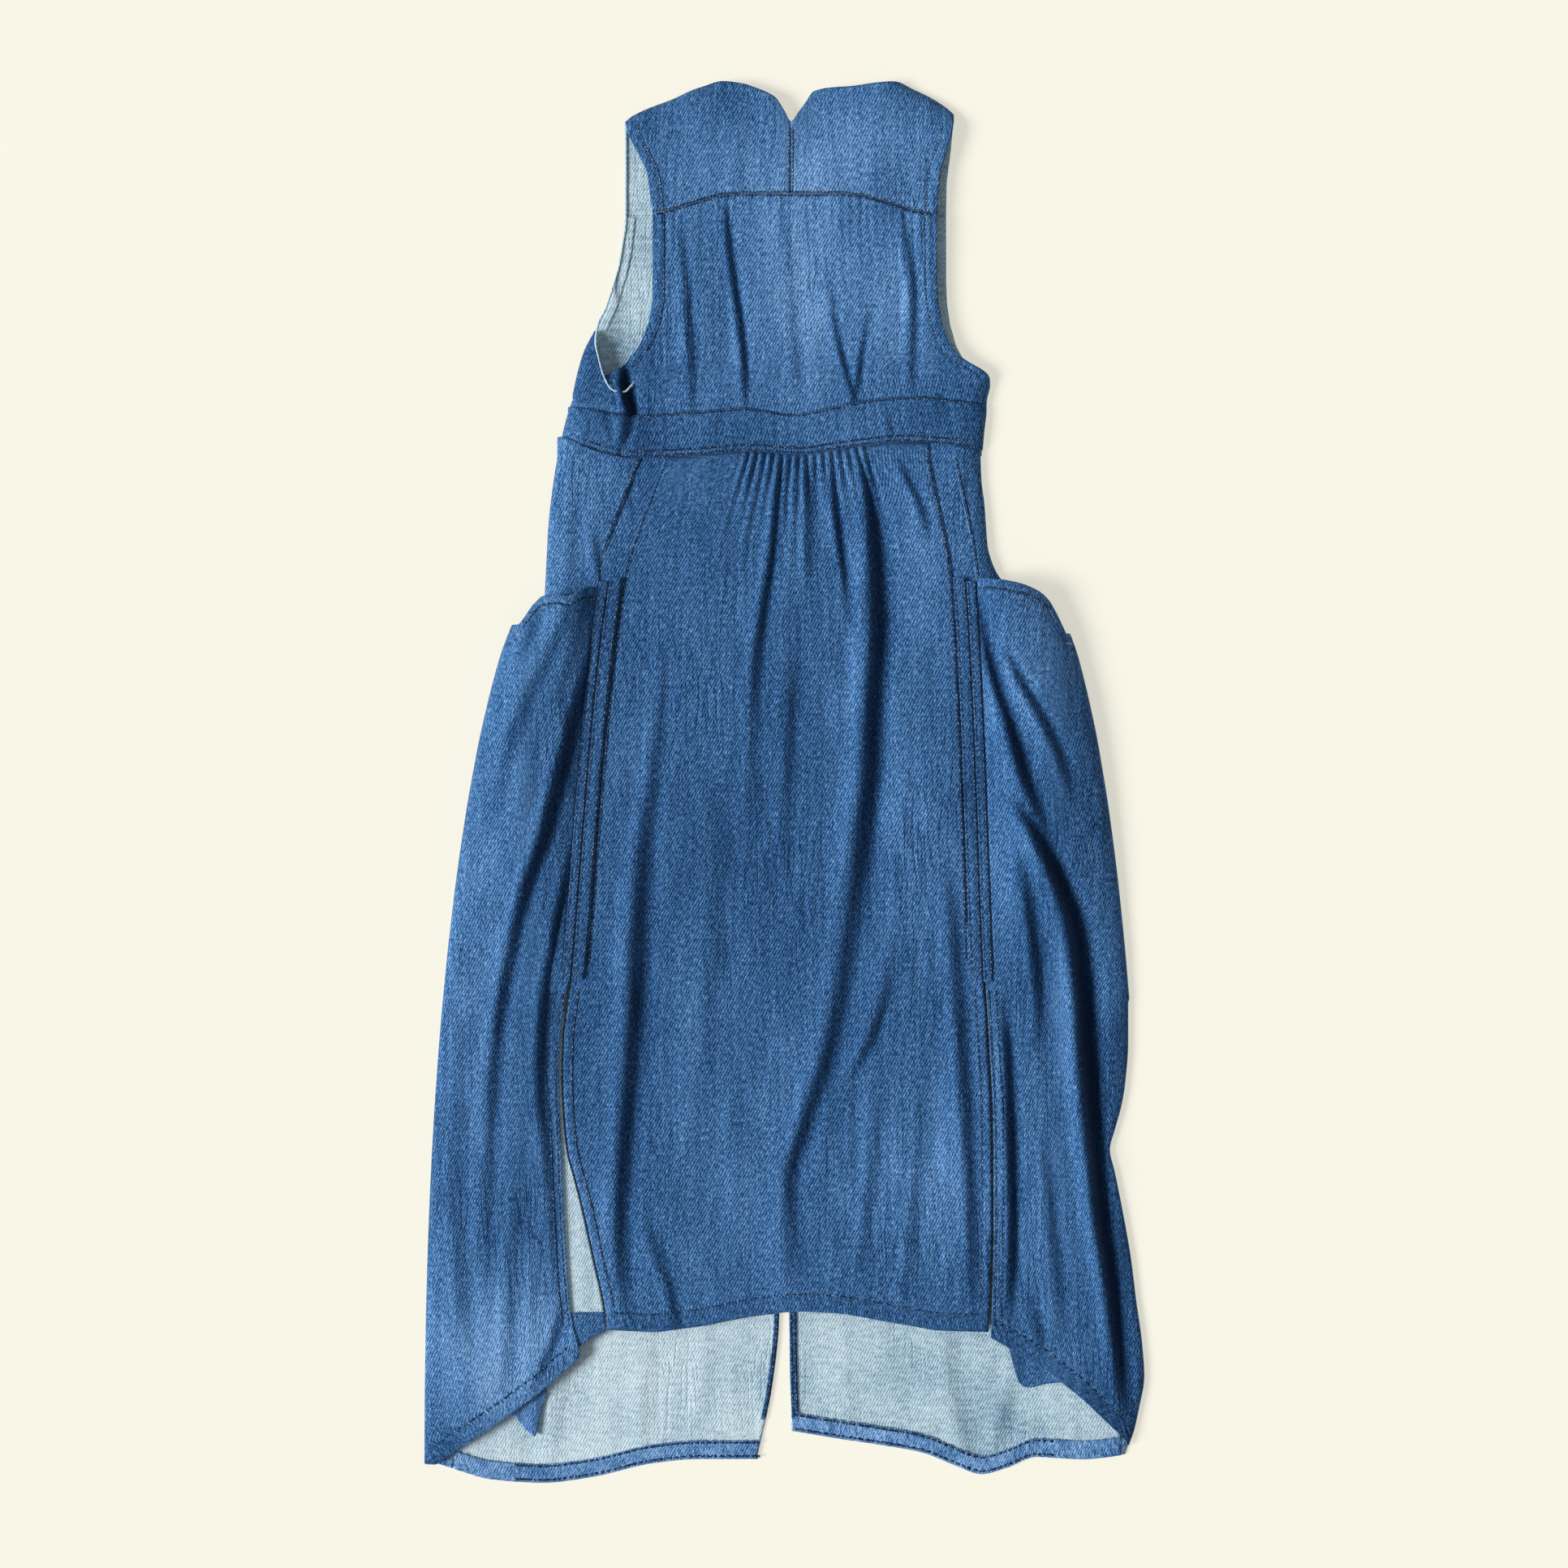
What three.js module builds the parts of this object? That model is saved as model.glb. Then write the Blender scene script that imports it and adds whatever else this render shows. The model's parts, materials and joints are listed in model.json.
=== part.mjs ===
// Artist's smock apron, laid flat on its back: a sleeveless denim pinafore with a notched yoke,
// a gathered bodice, a midriff band, a front skirt with side slits, deep side pockets and an open back.
// Millimetres. X runs across the garment, Y up towards the neck, Z out of the surface it lies on.
// Every piece of cloth is its own closed sheet, laid at the height where it rests on the layers below.
import * as THREE from "three";

// Depths down the garment from the high point of the shoulder
const LENGTH = 1300;
const SHOULDER_DROP = 34;
const NOTCH_DEPTH = 38;
const YOKE_DEPTH = 104;
const BAND_DEPTH = 306;
const BAND_HEIGHT = 41;
const MOUTH_DEPTH = 464;
const SLIT_DEPTH = 834;
const FRONT_LENGTH = 1148;
const SIDE_LENGTH = 1160;

// Distances from the middle line. The left half lies spread a little more than the right.
const LEFT = {
  name: "left", sign: -1, neck: 60, shoulder: 148, across: 122, backAcross: 148, underarmDepth: 286,
  band: 200, waist: 210, hip: 221, mouth: 229, hem: 333, fullness: 0.64, princessBand: 110,
  princessHip: 150, princessSlit: 185, flapHem: 166, sideHemDip: 66, cornerDepth: 1281,
  underDepth: 1257, vent: 28, backSag: 0,
};
const RIGHT = {
  name: "right", sign: 1, neck: 100, shoulder: 157, across: 141, backAcross: 150, underarmDepth: 274,
  band: 187, waist: 183, hip: 198, mouth: 236, hem: 333, fullness: 0.58, princessBand: 134,
  princessHip: 156, princessSlit: 172, flapHem: 186, sideHemDip: 40, cornerDepth: 1264,
  underDepth: 1212, vent: 8, backSag: 8,
};
const NOTCH_X = 6;
const SCOOP = 88; // height of the armhole's rounded foot
const YOKE_FALL = 20; // the yoke seam drops this much from the middle to the armholes
const HEM_WAVE = 10; // how far the front hem rises and falls as it lies
const HEM_WAVE_HALF = 150;
const UNDER_WIDTH = 262; // from the middle to the outer edge of the side panel at its hem

// Cloth, trims and the air between the layers
const CLOTH = 1.2;
const SEAM = 0.4;
const BODY_AIR = 7;
const POCKET_AIR = 16;
const SIDE_SLOPE = 24; // width over which the near layer comes down to the side fold
const FRONT_HEM = 17;
const BACK_HEM = 19;
const FACING = 10;
const SLIT_BAND = 12; // stitched band on the front's edge, above the slit
const PLACKET = 9; // stitched band on the pocket's edge, beside it
const MOUTH_HEM = 9;
const FAR_WRAP = 78; // how far the side of the skirt wraps round under the garment to its seam
const LAP = 4;
const HINGE_ROOT = 0.3; // clearances from a fold line to the cloth that stays and the cloth that turns
const HINGE_FLAP = 0.5;
const HINGE_BAND = 2; // a raised band stops further off, so that the turning cloth clears it
const SLIT_GAP = 1.4;
const TAIL_START = 24; // from the front hem down to the fold line across each corner of the open back
const TAIL_REACH = 200;
const TAIL_HEM_SHORT = 72; // the tail's turned hem stops short of its fold line
const HOOK_WIRE = 1;
const HOOK_LENGTH = 12;
const ROW = 55; // longest step between two rows of a sheet

// Heights of the middle of each layer
const LAYER = CLOTH + SEAM;
const Z_BACK = CLOTH / 2;
const Z_BACK_FACING = Z_BACK + LAYER;
const Z_EDGE = Z_BACK + LAYER;
const Z_FRONT_FACING = Z_BACK_FACING + CLOTH + BODY_AIR;
const Z_FRONT = Z_FRONT_FACING + LAYER;
const Z_PLACKET = Z_FRONT + LAYER;
const Z_DRAPE = Z_FRONT + CLOTH + POCKET_AIR;
const Z_UNDER = Z_BACK + 3 * LAYER + SEAM;
const Z_CORNER = Z_UNDER + 2 * LAYER;

// Heights up the garment
const NECK_Y = LENGTH / 2;
const SHOULDER_Y = NECK_Y - SHOULDER_DROP;
const NOTCH_Y = NECK_Y - NOTCH_DEPTH;
const YOKE_Y = NECK_Y - YOKE_DEPTH;
const BAND_TOP = NECK_Y - BAND_DEPTH;
const BAND_FOOT = BAND_TOP - BAND_HEIGHT;
const MOUTH_Y = NECK_Y - MOUTH_DEPTH;
const SLIT_Y = NECK_Y - SLIT_DEPTH;
const FRONT_HEM_Y = NECK_Y - FRONT_LENGTH;
const SIDE_HEM_Y = NECK_Y - SIDE_LENGTH;
const BACK_HEM_Y = NECK_Y - LENGTH;

const DENIM = { color: 0x3a6290, roughness: 0.9 };
const DENIM_INSIDE = { color: 0xa9bcc6, roughness: 0.95 };
const DENIM_TRIM = { color: 0x2c4f7a, roughness: 0.9 };
const HOOK_METAL = { color: 0x2b2d33, roughness: 0.4, metalness: 0.9 };

const lerp = (a, b, t) => a + (b - a) * t;
const clamp = (t) => Math.min(1, Math.max(0, t));
const ease = (t) => clamp(t) ** 2 * (3 - 2 * clamp(t));
const line = ([ta, a], [tb, b]) => (t) => lerp(a, b, (t - ta) / (tb - ta));
const shifted = (f, by) => (...args) => f(...args) + by;
const spread = (a, b, steps) => Array.from({ length: steps + 1 }, (_, i) => lerp(a, b, i / steps));

// A smooth curve through a few points [t, value] that never overshoots them.
function curve(...points) {
  const p = points.sort((a, b) => a[0] - b[0]);
  const last = p.length - 1;
  const slope = p.slice(1).map((q, i) => (q[1] - p[i][1]) / (q[0] - p[i][0]));
  const tangent = p.map((q, i) => {
    if (i === 0) return slope[0];
    if (i === last) return slope[i - 1];
    const product = slope[i - 1] * slope[i];
    return product <= 0 ? 0 : (2 * product) / (slope[i - 1] + slope[i]);
  });
  return (t) => {
    if (t <= p[0][0]) return p[0][1];
    if (t >= p[last][0]) return p[last][1];
    const i = p.findIndex((q) => q[0] > t) - 1;
    const h = p[i + 1][0] - p[i][0];
    const u = (t - p[i][0]) / h;
    const fromStart = p[i][1] * (1 + 2 * u) * (1 - u) ** 2 + tangent[i] * h * u * (1 - u) ** 2;
    const fromEnd = p[i + 1][1] * u * u * (3 - 2 * u) + tangent[i + 1] * h * u * u * (u - 1);
    return fromStart + fromEnd;
  };
}

// A closed sheet of cloth, CLOTH thick, through a grid of middle points rows[i][j].
function sheetGeometry(rows) {
  const m = rows.length;
  const n = rows[0].length;
  const faces = [[], []];
  rows.forEach((row, i) =>
    row.forEach((point, j) => {
      const along = rows[Math.min(i + 1, m - 1)][j].clone().sub(rows[Math.max(i - 1, 0)][j]);
      const across = row[Math.min(j + 1, n - 1)].clone().sub(row[Math.max(j - 1, 0)]);
      const offset = across.cross(along).normalize().multiplyScalar(CLOTH / 2);
      faces[0].push(point.clone().add(offset));
      faces[1].push(point.clone().sub(offset));
    }),
  );
  const at = (i, j, side) => side * m * n + i * n + j;
  const index = [];
  const quad = (a, b, c, d) => index.push(a, b, c, a, c, d);
  for (let i = 0; i < m - 1; i++)
    for (let j = 0; j < n - 1; j++) {
      quad(at(i, j, 0), at(i, j + 1, 0), at(i + 1, j + 1, 0), at(i + 1, j, 0));
      quad(at(i, j, 1), at(i + 1, j, 1), at(i + 1, j + 1, 1), at(i, j + 1, 1));
    }
  for (let j = 0; j < n - 1; j++) {
    quad(at(0, j, 1), at(0, j + 1, 1), at(0, j + 1, 0), at(0, j, 0));
    quad(at(m - 1, j, 0), at(m - 1, j + 1, 0), at(m - 1, j + 1, 1), at(m - 1, j, 1));
  }
  for (let i = 0; i < m - 1; i++) {
    quad(at(i, 0, 0), at(i + 1, 0, 0), at(i + 1, 0, 1), at(i, 0, 1));
    quad(at(i, n - 1, 1), at(i + 1, n - 1, 1), at(i + 1, n - 1, 0), at(i, n - 1, 0));
  }
  const geometry = new THREE.BufferGeometry().setFromPoints([...faces[0], ...faces[1]]);
  geometry.setIndex(index);
  geometry.computeVertexNormals();
  return geometry;
}

const garment = new THREE.Group();
function add(name, look, geometry) {
  const mesh = new THREE.Mesh(geometry, new THREE.MeshStandardMaterial(look));
  mesh.name = name;
  garment.add(mesh);
  return mesh;
}

// A panel between a bottom and a top edge, both y = f(x, column). section(y) lists the columns [x, z]
// of the cloth at that height, from left to right over the near face; z is a number or a function of
// (x, y). Each point settles where its column's x and its own y agree.
function panel(name, look, { bottom, top, section, rows }) {
  const steps = rows ?? Math.max(1, Math.ceil((top(0, 0) - bottom(0, 0)) / ROW));
  const fractions = Array.isArray(steps) ? steps : spread(0, 1, steps);
  const columns = section(top(0, 0)).length;
  const grid = fractions.map((v) =>
    Array.from({ length: columns }, (_, j) => {
      let y = lerp(bottom(0, j), top(0, j), v);
      let [x, z] = section(y)[j];
      for (let settle = 0; settle < 24; settle++) {
        y = lerp(bottom(x, j), top(x, j), v);
        [x, z] = section(y)[j];
      }
      return new THREE.Vector3(x, y, typeof z === "function" ? z(x, y, v) : z);
    }),
  );
  return add(name, look, sheetGeometry(grid));
}
const flat = (a, b, steps, z) => spread(a, b, steps).map((x) => [x, z]);

// The seams and edges of one side, as distances from the middle line
function edgesOf(side) {
  const underarm = NECK_Y - side.underarmDepth;
  const corner = NECK_Y - side.cornerDepth;
  const underHem = NECK_Y - side.underDepth;
  const sideSeam = curve(
    [BAND_TOP, side.band], [BAND_FOOT, side.waist], [MOUTH_Y + 40, lerp(side.waist, side.hip, 0.85)],
    [MOUTH_Y, side.hip], [SLIT_Y, lerp(side.hip, UNDER_WIDTH, 0.8)], [underHem, UNDER_WIDTH],
  );
  const scooped = (across) => (y) => {
    const t = clamp((underarm + SCOOP - y) / SCOOP);
    const foot = lerp(across, side.band, 1 - Math.sqrt(1 - t * t));
    return lerp(foot, side.shoulder, ease((y - YOKE_Y) / (SHOULDER_Y - YOKE_Y)));
  };
  const princess = curve(
    [BAND_FOOT, side.princessBand], [MOUTH_Y, side.princessHip], [SLIT_Y, side.princessSlit],
  );
  const slitTop = side.princessSlit + SLIT_BAND;
  const flapEdge = line([SLIT_Y, slitTop], [FRONT_HEM_Y, side.flapHem]);
  const outline = (y) => {
    const t = clamp((MOUTH_Y - y) / (MOUTH_Y - corner));
    return lerp(side.mouth, side.hem, (1 - (1 - t) ** 2.2) ** side.fullness);
  };
  const farSeam = (y) => outline(y) - lerp(22, FAR_WRAP, ease((MOUTH_Y - y) / 120));
  const backEdge = (y) => (y > MOUTH_Y ? sideSeam(y) : Math.max(sideSeam(y), farSeam(y) + LAP));
  const backHeight = (x, y) => {
    const overWrap = clamp((Math.abs(x) - farSeam(y) + 17) / 11);
    return Z_BACK + LAYER * overWrap * clamp((MOUTH_Y + 34 - y) / 30);
  };
  const centreBack = curve([FRONT_HEM_Y, 4], [BACK_HEM_Y + 10, side.vent], [NECK_Y, 1]);
  return {
    ...side, underarm, corner, underHem, sideSeam, armhole: scooped(side.across),
    backArmhole: scooped(side.backAcross), princess, slitTop, flapEdge, outline, farSeam, backEdge,
    backHeight, centreBack,
  };
}
const left = edgesOf(LEFT);
const right = edgesOf(RIGHT);
const sideAt = (x) => (x < NOTCH_X ? left : right);

const yokeSeam = (x) => YOKE_Y - YOKE_FALL * ease((Math.abs(x - NOTCH_X) / RIGHT.across - 0.35) / 0.65);
const bandTop = () => BAND_TOP;
const bandFoot = () => BAND_FOOT;
const frontHem = (x) => FRONT_HEM_Y + HEM_WAVE * Math.cos((Math.PI * (x - 20)) / HEM_WAVE_HALF);
const neckEdge = curve(
  [-LEFT.shoulder, SHOULDER_Y], [-lerp(LEFT.neck, LEFT.shoulder, 0.5), NECK_Y - 16], [-LEFT.neck, NECK_Y],
  [-LEFT.neck / 3, NECK_Y - 10], [NOTCH_X, NOTCH_Y], [RIGHT.neck / 4, NECK_Y - 10], [RIGHT.neck, NECK_Y],
  [lerp(RIGHT.neck, RIGHT.shoulder, 0.5), NECK_Y - 15], [RIGHT.shoulder, SHOULDER_Y],
);
const onShoulder = (x, early = 0) => clamp((Math.abs(x) - sideAt(x).neck + early) / 15);
const backHem = curve(
  [-LEFT.hem, left.corner], [-lerp(LEFT.vent, LEFT.hem, 0.68), BACK_HEM_Y + LEFT.backSag],
  [-lerp(LEFT.vent, LEFT.hem, 0.3), BACK_HEM_Y + 22], [-LEFT.vent, BACK_HEM_Y + 25],
  [NOTCH_X, BACK_HEM_Y + 49], [lerp(RIGHT.vent, RIGHT.hem, 0.35), BACK_HEM_Y + 27],
  [lerp(RIGHT.vent, RIGHT.hem, 0.56), BACK_HEM_Y + RIGHT.backSag],
  [lerp(RIGHT.vent, RIGHT.hem, 0.72), BACK_HEM_Y + 24], [RIGHT.hem, right.corner],
);

// The near layer lies flat in the middle and comes down to the side fold. Where the armhole is open,
// its edge stays up.
const closedAt = (y) => 1 - ease((y - Math.min(left.underarm, right.underarm)) / SIDE_SLOPE);
const nearLayer = (leftEdge, rightEdge) => (y) => {
  const foot = lerp(Z_FRONT, Z_EDGE, closedAt(y));
  const inward = (edge, s) => [...flat(s * NOTCH_X, edge - SIDE_SLOPE, 7, Z_FRONT), [edge, foot]];
  const leftPart = inward(leftEdge(y), -1).map(([d, z]) => [-d, z]);
  return [...leftPart.reverse(), ...inward(rightEdge(y), 1).slice(1)];
};
const shoulderFold = (x, y, v) => lerp(Z_FRONT, Z_EDGE, v === 1 ? onShoulder(x) : 0);

panel("front_bodice", DENIM, {
  bottom: shifted(bandTop, SEAM / 2), top: shifted(yokeSeam, -SEAM / 2), rows: 9,
  section: nearLayer(left.armhole, right.armhole),
});
panel("front_band", DENIM, {
  bottom: shifted(bandFoot, SEAM / 2), top: shifted(bandTop, -SEAM / 2), rows: 2,
  section: nearLayer(left.sideSeam, right.sideSeam),
});
panel("front_band_lining", DENIM_TRIM, {
  bottom: shifted(bandFoot, 3), top: shifted(bandTop, -3), rows: 1,
  section: (y) =>
    flat(SIDE_SLOPE + 2 - left.sideSeam(y), right.sideSeam(y) - SIDE_SLOPE - 2, 2, Z_FRONT_FACING),
});

// Front skirt: the gathered panel from the band to the top of the slits, and the free flap below it
const aboveSlit = () => SLIT_Y + HINGE_ROOT;
panel("front_skirt", DENIM, {
  bottom: aboveSlit, top: shifted(bandFoot, -SEAM / 2), rows: 16,
  section: (y) => flat(SEAM / 2 - left.princess(y), right.princess(y) - SEAM / 2, 2, Z_FRONT),
});
panel("front_flap", DENIM, {
  bottom: frontHem, top: () => SLIT_Y - HINGE_FLAP,
  section: (y) => flat(-left.flapEdge(y), right.flapEdge(y), 8, Z_FRONT),
});
panel("front_flap_hem", DENIM_TRIM, {
  bottom: shifted(frontHem, 0.5), top: shifted(frontHem, FRONT_HEM), rows: 1,
  section: (y) => flat(1 - left.flapEdge(y), right.flapEdge(y) - 1, 8, Z_FRONT_FACING),
});

for (const side of [left, right]) {
  const s = side.sign;
  const named = (piece) => `${piece}_${side.name}`;
  const ordered = (points) => (s < 0 ? points.reverse() : points);
  const strip = (from, to, z, steps = 1) => (y) =>
    ordered(spread(from(y), to(y), steps).map((d) => [s * d, z]));

  // Yoke halves that meet at the neck's notch, with their linings
  const yokeSection = (edge, gap, z) => (y) => {
    const places = [...spread(s * NOTCH_X + gap, edge(y) - SIDE_SLOPE, 7), edge(y)];
    return ordered(places.map((d) => [s * d, z]));
  };
  panel(named("front_yoke"), DENIM, {
    bottom: shifted(yokeSeam, SEAM / 2), top: neckEdge, rows: [0, 0.4, 0.82, 1],
    section: yokeSection(side.armhole, SEAM / 2, shoulderFold),
  });
  panel(named("yoke_lining"), DENIM_INSIDE, {
    bottom: shifted(yokeSeam, 3), top: (x) => neckEdge(x) - lerp(3, 26, onShoulder(x, 20)), rows: 3,
    section: yokeSection(shifted(side.armhole, -1), 1, Z_FRONT_FACING),
  });
  panel(named("armhole_facing"), DENIM_TRIM, {
    bottom: () => side.underarm + SIDE_SLOPE + 6, top: () => YOKE_Y - YOKE_FALL - 1, rows: 6,
    section: strip(shifted(side.armhole, -FACING), shifted(side.armhole, -1), Z_FRONT_FACING),
  });

  // Gore: the long strip between the front skirt and the side panel, under the two stitched bands
  const goreEdge = shifted(side.princess, SLIT_BAND + PLACKET + SEAM);
  panel(named("front_gore"), DENIM, {
    bottom: aboveSlit, top: shifted(bandFoot, -SEAM / 2), rows: 16,
    section: strip(shifted(side.princess, SEAM / 2), goreEdge, Z_FRONT),
  });
  panel(named("slit_band"), DENIM_TRIM, {
    bottom: () => SLIT_Y + HINGE_BAND, top: () => MOUTH_Y + 4,
    section: strip(shifted(side.princess, SEAM / 2), shifted(side.princess, SLIT_BAND), Z_PLACKET),
  });
  panel(named("pocket_placket"), DENIM_TRIM, {
    bottom: aboveSlit, top: () => MOUTH_Y,
    section: strip(shifted(side.princess, SLIT_BAND + SEAM), goreEdge, Z_PLACKET),
  });
  panel(named("flap_slit_facing"), DENIM_TRIM, {
    bottom: shifted(frontHem, FRONT_HEM + 2), top: () => SLIT_Y - 12,
    section: strip(shifted(side.flapEdge, -FACING), shifted(side.flapEdge, -1), Z_FRONT_FACING),
  });

  // Side panel: shows above the pocket, backs it, then hangs as the inner layer down to its own hem
  const lowered = (y) => ease((SLIT_Y + 20 - y) / 90);
  const underInner = (y) => goreEdge(y) + SEAM + 14 * lowered(y);
  const sideFoot = (y) => {
    const resting = Z_EDGE + LAYER * clamp((MOUTH_Y + 80 - y) / 45);
    return lerp(resting, Z_UNDER, ease((side.underHem + 90 - y) / 50));
  };
  const sideHeight = (x, y) => {
    const up = clamp((side.sideSeam(y) - Math.abs(x)) / SIDE_SLOPE);
    return lerp(sideFoot(y), lerp(Z_FRONT, Z_UNDER, lowered(y)), up);
  };
  const sideSection = (z, inset) => (y) => {
    const [inner, outer] = [underInner(y) + inset, side.sideSeam(y) - inset];
    const bend = Math.max(inner + 1, side.sideSeam(y) - SIDE_SLOPE);
    return ordered([inner, (inner + bend) / 2, bend, outer].map((d) => [s * d, z]));
  };
  panel(named("side_panel"), DENIM, {
    bottom: () => side.underHem, top: shifted(bandFoot, -SEAM / 2), section: sideSection(sideHeight, 0),
    rows: 28,
  });
  panel(named("side_panel_hem"), DENIM_TRIM, {
    bottom: () => side.underHem + 0.5, top: () => side.underHem + BACK_HEM, rows: 1,
    section: sideSection(shifted(sideHeight, -LAYER), 1),
  });

  // Pocket drape: from its placket over the pocket's air and down to the side fold. The wrap goes on
  // from there, under the garment to its seam.
  const foldTop = side.slitTop + PLACKET + SEAM;
  const foldFoot = side.hem - 15;
  const foldLine = line([SLIT_Y, foldTop], [side.corner, foldFoot]);
  const foldSlope = Math.hypot(1, (foldFoot - foldTop) / (SLIT_Y - side.corner));
  const foldHeight = line([SLIT_Y, Z_PLACKET], [side.corner, Z_CORNER]);
  const rise = (y) => clamp((MOUTH_Y + 130 - y) / (MOUTH_Y + 130 - SLIT_Y));
  const loft = (y) => Math.sin(Math.PI * rise(y) ** 0.8);
  const drapeSection = (y) => {
    const low = y < SLIT_Y;
    const inner = low ? foldLine(y) + HINGE_ROOT * foldSlope : goreEdge(y) + 2 * SEAM;
    const edge = low ? foldHeight(y) : Z_PLACKET;
    const crown = low ? edge : lerp(edge, Z_DRAPE, loft(y));
    const out = side.outline(y);
    const roll = Math.min(7, (out - inner) * 0.2);
    const points = [
      [inner, edge], [lerp(inner, out, 0.3), crown], [lerp(inner, out, 0.75), lerp(crown, edge, 0.15)],
      [out - roll * 0.4, lerp(Z_BACK, crown, 0.6)], [out, lerp(Z_BACK, crown, 0.3)],
      [out - 0.2, Z_EDGE],
    ];
    return ordered(points.map(([d, z]) => [s * d, z]));
  };
  const drapeTop = MOUTH_Y - MOUTH_HEM - SEAM;
  panel(named("pocket_drape"), DENIM, {
    bottom: () => side.corner, top: () => drapeTop, section: drapeSection, rows: 17,
  });
  panel(named("pocket_wrap"), DENIM, {
    bottom: backHem, top: () => drapeTop, section: strip(side.farSeam, side.outline, Z_BACK, 2), rows: 17,
  });
  panel(named("pocket_mouth_hem"), DENIM_TRIM, {
    bottom: () => MOUTH_Y - MOUTH_HEM, top: () => MOUTH_Y, rows: 1, section: drapeSection,
  });
  panel(named("pocket_base"), DENIM_TRIM, {
    bottom: () => SLIT_Y + 52, top: () => SLIT_Y + 62, rows: 1,
    section: strip(
      (y) => lerp(goreEdge(y), side.outline(y), 0.2), shifted(side.sideSeam, 4 - SIDE_SLOPE), Z_PLACKET, 2,
    ),
  });
  panel(named("wrap_hem"), DENIM_TRIM, {
    bottom: shifted(backHem, 0.5), top: shifted(backHem, BACK_HEM), rows: 1,
    section: strip(shifted(side.backEdge, 2), shifted(side.outline, -9), Z_BACK_FACING, 2),
  });

  // The drape's lower corner is free at the slit and the hem, and turns back on a slanting fold
  const cornerInner = shifted(side.flapEdge, SLIT_GAP);
  const cornerOuter = shifted(foldLine, -HINGE_FLAP * foldSlope);
  const tilt = (foldHeight(SIDE_HEM_Y) - Z_CORNER) / (foldLine(SIDE_HEM_Y) - side.flapHem);
  const cornerHeight = (x, y) => foldHeight(y) - tilt * (foldLine(y) - Math.abs(x));
  const sideHem = curve(
    [side.flapHem, SIDE_HEM_Y], [lerp(side.flapHem, foldFoot, 0.5), SIDE_HEM_Y - side.sideHemDip],
    [foldFoot, side.corner + 4],
  );
  const cornerHem = (x) => sideHem(Math.abs(x));
  panel(named("drape_corner"), DENIM, {
    bottom: cornerHem, top: () => SLIT_Y - HINGE_FLAP, rows: 8,
    section: strip(cornerInner, cornerOuter, cornerHeight, 4),
  });
  panel(named("drape_corner_hem"), DENIM_TRIM, {
    bottom: shifted(cornerHem, 0.5), top: shifted(cornerHem, BACK_HEM), rows: 1,
    section: strip(
      shifted(cornerInner, 1), shifted(cornerOuter, -8), shifted(cornerHeight, -LAYER), 4,
    ),
  });
  panel(named("drape_slit_facing"), DENIM_TRIM, {
    bottom: (x) => cornerHem(x) + BACK_HEM + 3, top: () => SLIT_Y - 30,
    section: strip(shifted(cornerInner, 1), shifted(cornerInner, FACING), shifted(cornerHeight, -LAYER)),
  });

  // The back lies on the surface, open down the middle; each half has a yoke, bodice, band and skirt
  const backTop = (x) => neckEdge(x) - 4 * (1 - onShoulder(x));
  const backOf = (edge) => strip(side.centreBack, edge, Z_BACK, 9);
  panel(named("back_yoke"), DENIM, {
    bottom: shifted(yokeSeam, SEAM / 2), top: backTop, section: backOf(side.backArmhole), rows: 3,
  });
  panel(named("back_bodice"), DENIM, {
    bottom: shifted(bandTop, SEAM / 2), top: shifted(yokeSeam, -SEAM / 2), section: backOf(side.backArmhole),
    rows: 9,
  });
  panel(named("back_armhole_facing"), DENIM_TRIM, {
    bottom: () => side.underarm + SIDE_SLOPE + 6, top: () => YOKE_Y - YOKE_FALL - 1, rows: 6,
    section: strip(shifted(side.backArmhole, -FACING), shifted(side.backArmhole, -1), Z_BACK_FACING),
  });
  panel(named("back_band"), DENIM, {
    bottom: shifted(bandFoot, SEAM / 2), top: shifted(bandTop, -SEAM / 2), section: backOf(side.sideSeam),
    rows: 2,
  });
  const tailTop = FRONT_HEM_Y - TAIL_START;
  const tailLine = line([side.centreBack(tailTop), tailTop], [TAIL_REACH, backHem(s * TAIL_REACH)]);
  const tailSlope = Math.hypot(1, tailLine(1) - tailLine(0));
  const tailFold = (x) => tailLine(Math.abs(x));
  panel(named("back_skirt"), DENIM, {
    bottom: (x) => Math.max(backHem(x), tailFold(x) + HINGE_ROOT * tailSlope),
    top: shifted(bandFoot, -SEAM / 2),
    rows: [0, 0.08, 0.17, 0.26, 0.35, 0.44, 0.53, 0.62, 0.71, 0.79, 0.845, 0.872, 0.91, 1],
    section: (y) => {
      const edge = side.backEdge(y);
      const seam = Math.min(side.farSeam(y), edge - 4);
      const places = [side.centreBack(y), seam * 0.35, seam * 0.7, seam - 17, seam - 6, edge];
      return ordered(places.map((d) => [s * d, side.backHeight]));
    },
  });
  panel(named("back_skirt_hem"), DENIM_TRIM, {
    bottom: shifted(backHem, 0.5), top: shifted(backHem, BACK_HEM), rows: 1,
    section: (y) => {
      const seam = side.farSeam(y);
      const places = [TAIL_REACH + 4, seam - 17, seam - 6, side.backEdge(y)];
      return ordered(places.map((d) => [s * d, shifted(side.backHeight, LAYER)]));
    },
  });
  panel(named("back_tail"), DENIM, {
    bottom: backHem, top: (x) => tailFold(x) - HINGE_FLAP * tailSlope, rows: 3,
    section: strip(side.centreBack, () => TAIL_REACH - 8, Z_BACK, 7),
  });
  panel(named("back_tail_hem"), DENIM_TRIM, {
    bottom: shifted(backHem, 0.5), top: shifted(backHem, BACK_HEM), rows: 1,
    section: strip(shifted(side.centreBack, 1), () => TAIL_REACH - TAIL_HEM_SHORT, Z_BACK_FACING, 5),
  });
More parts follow.
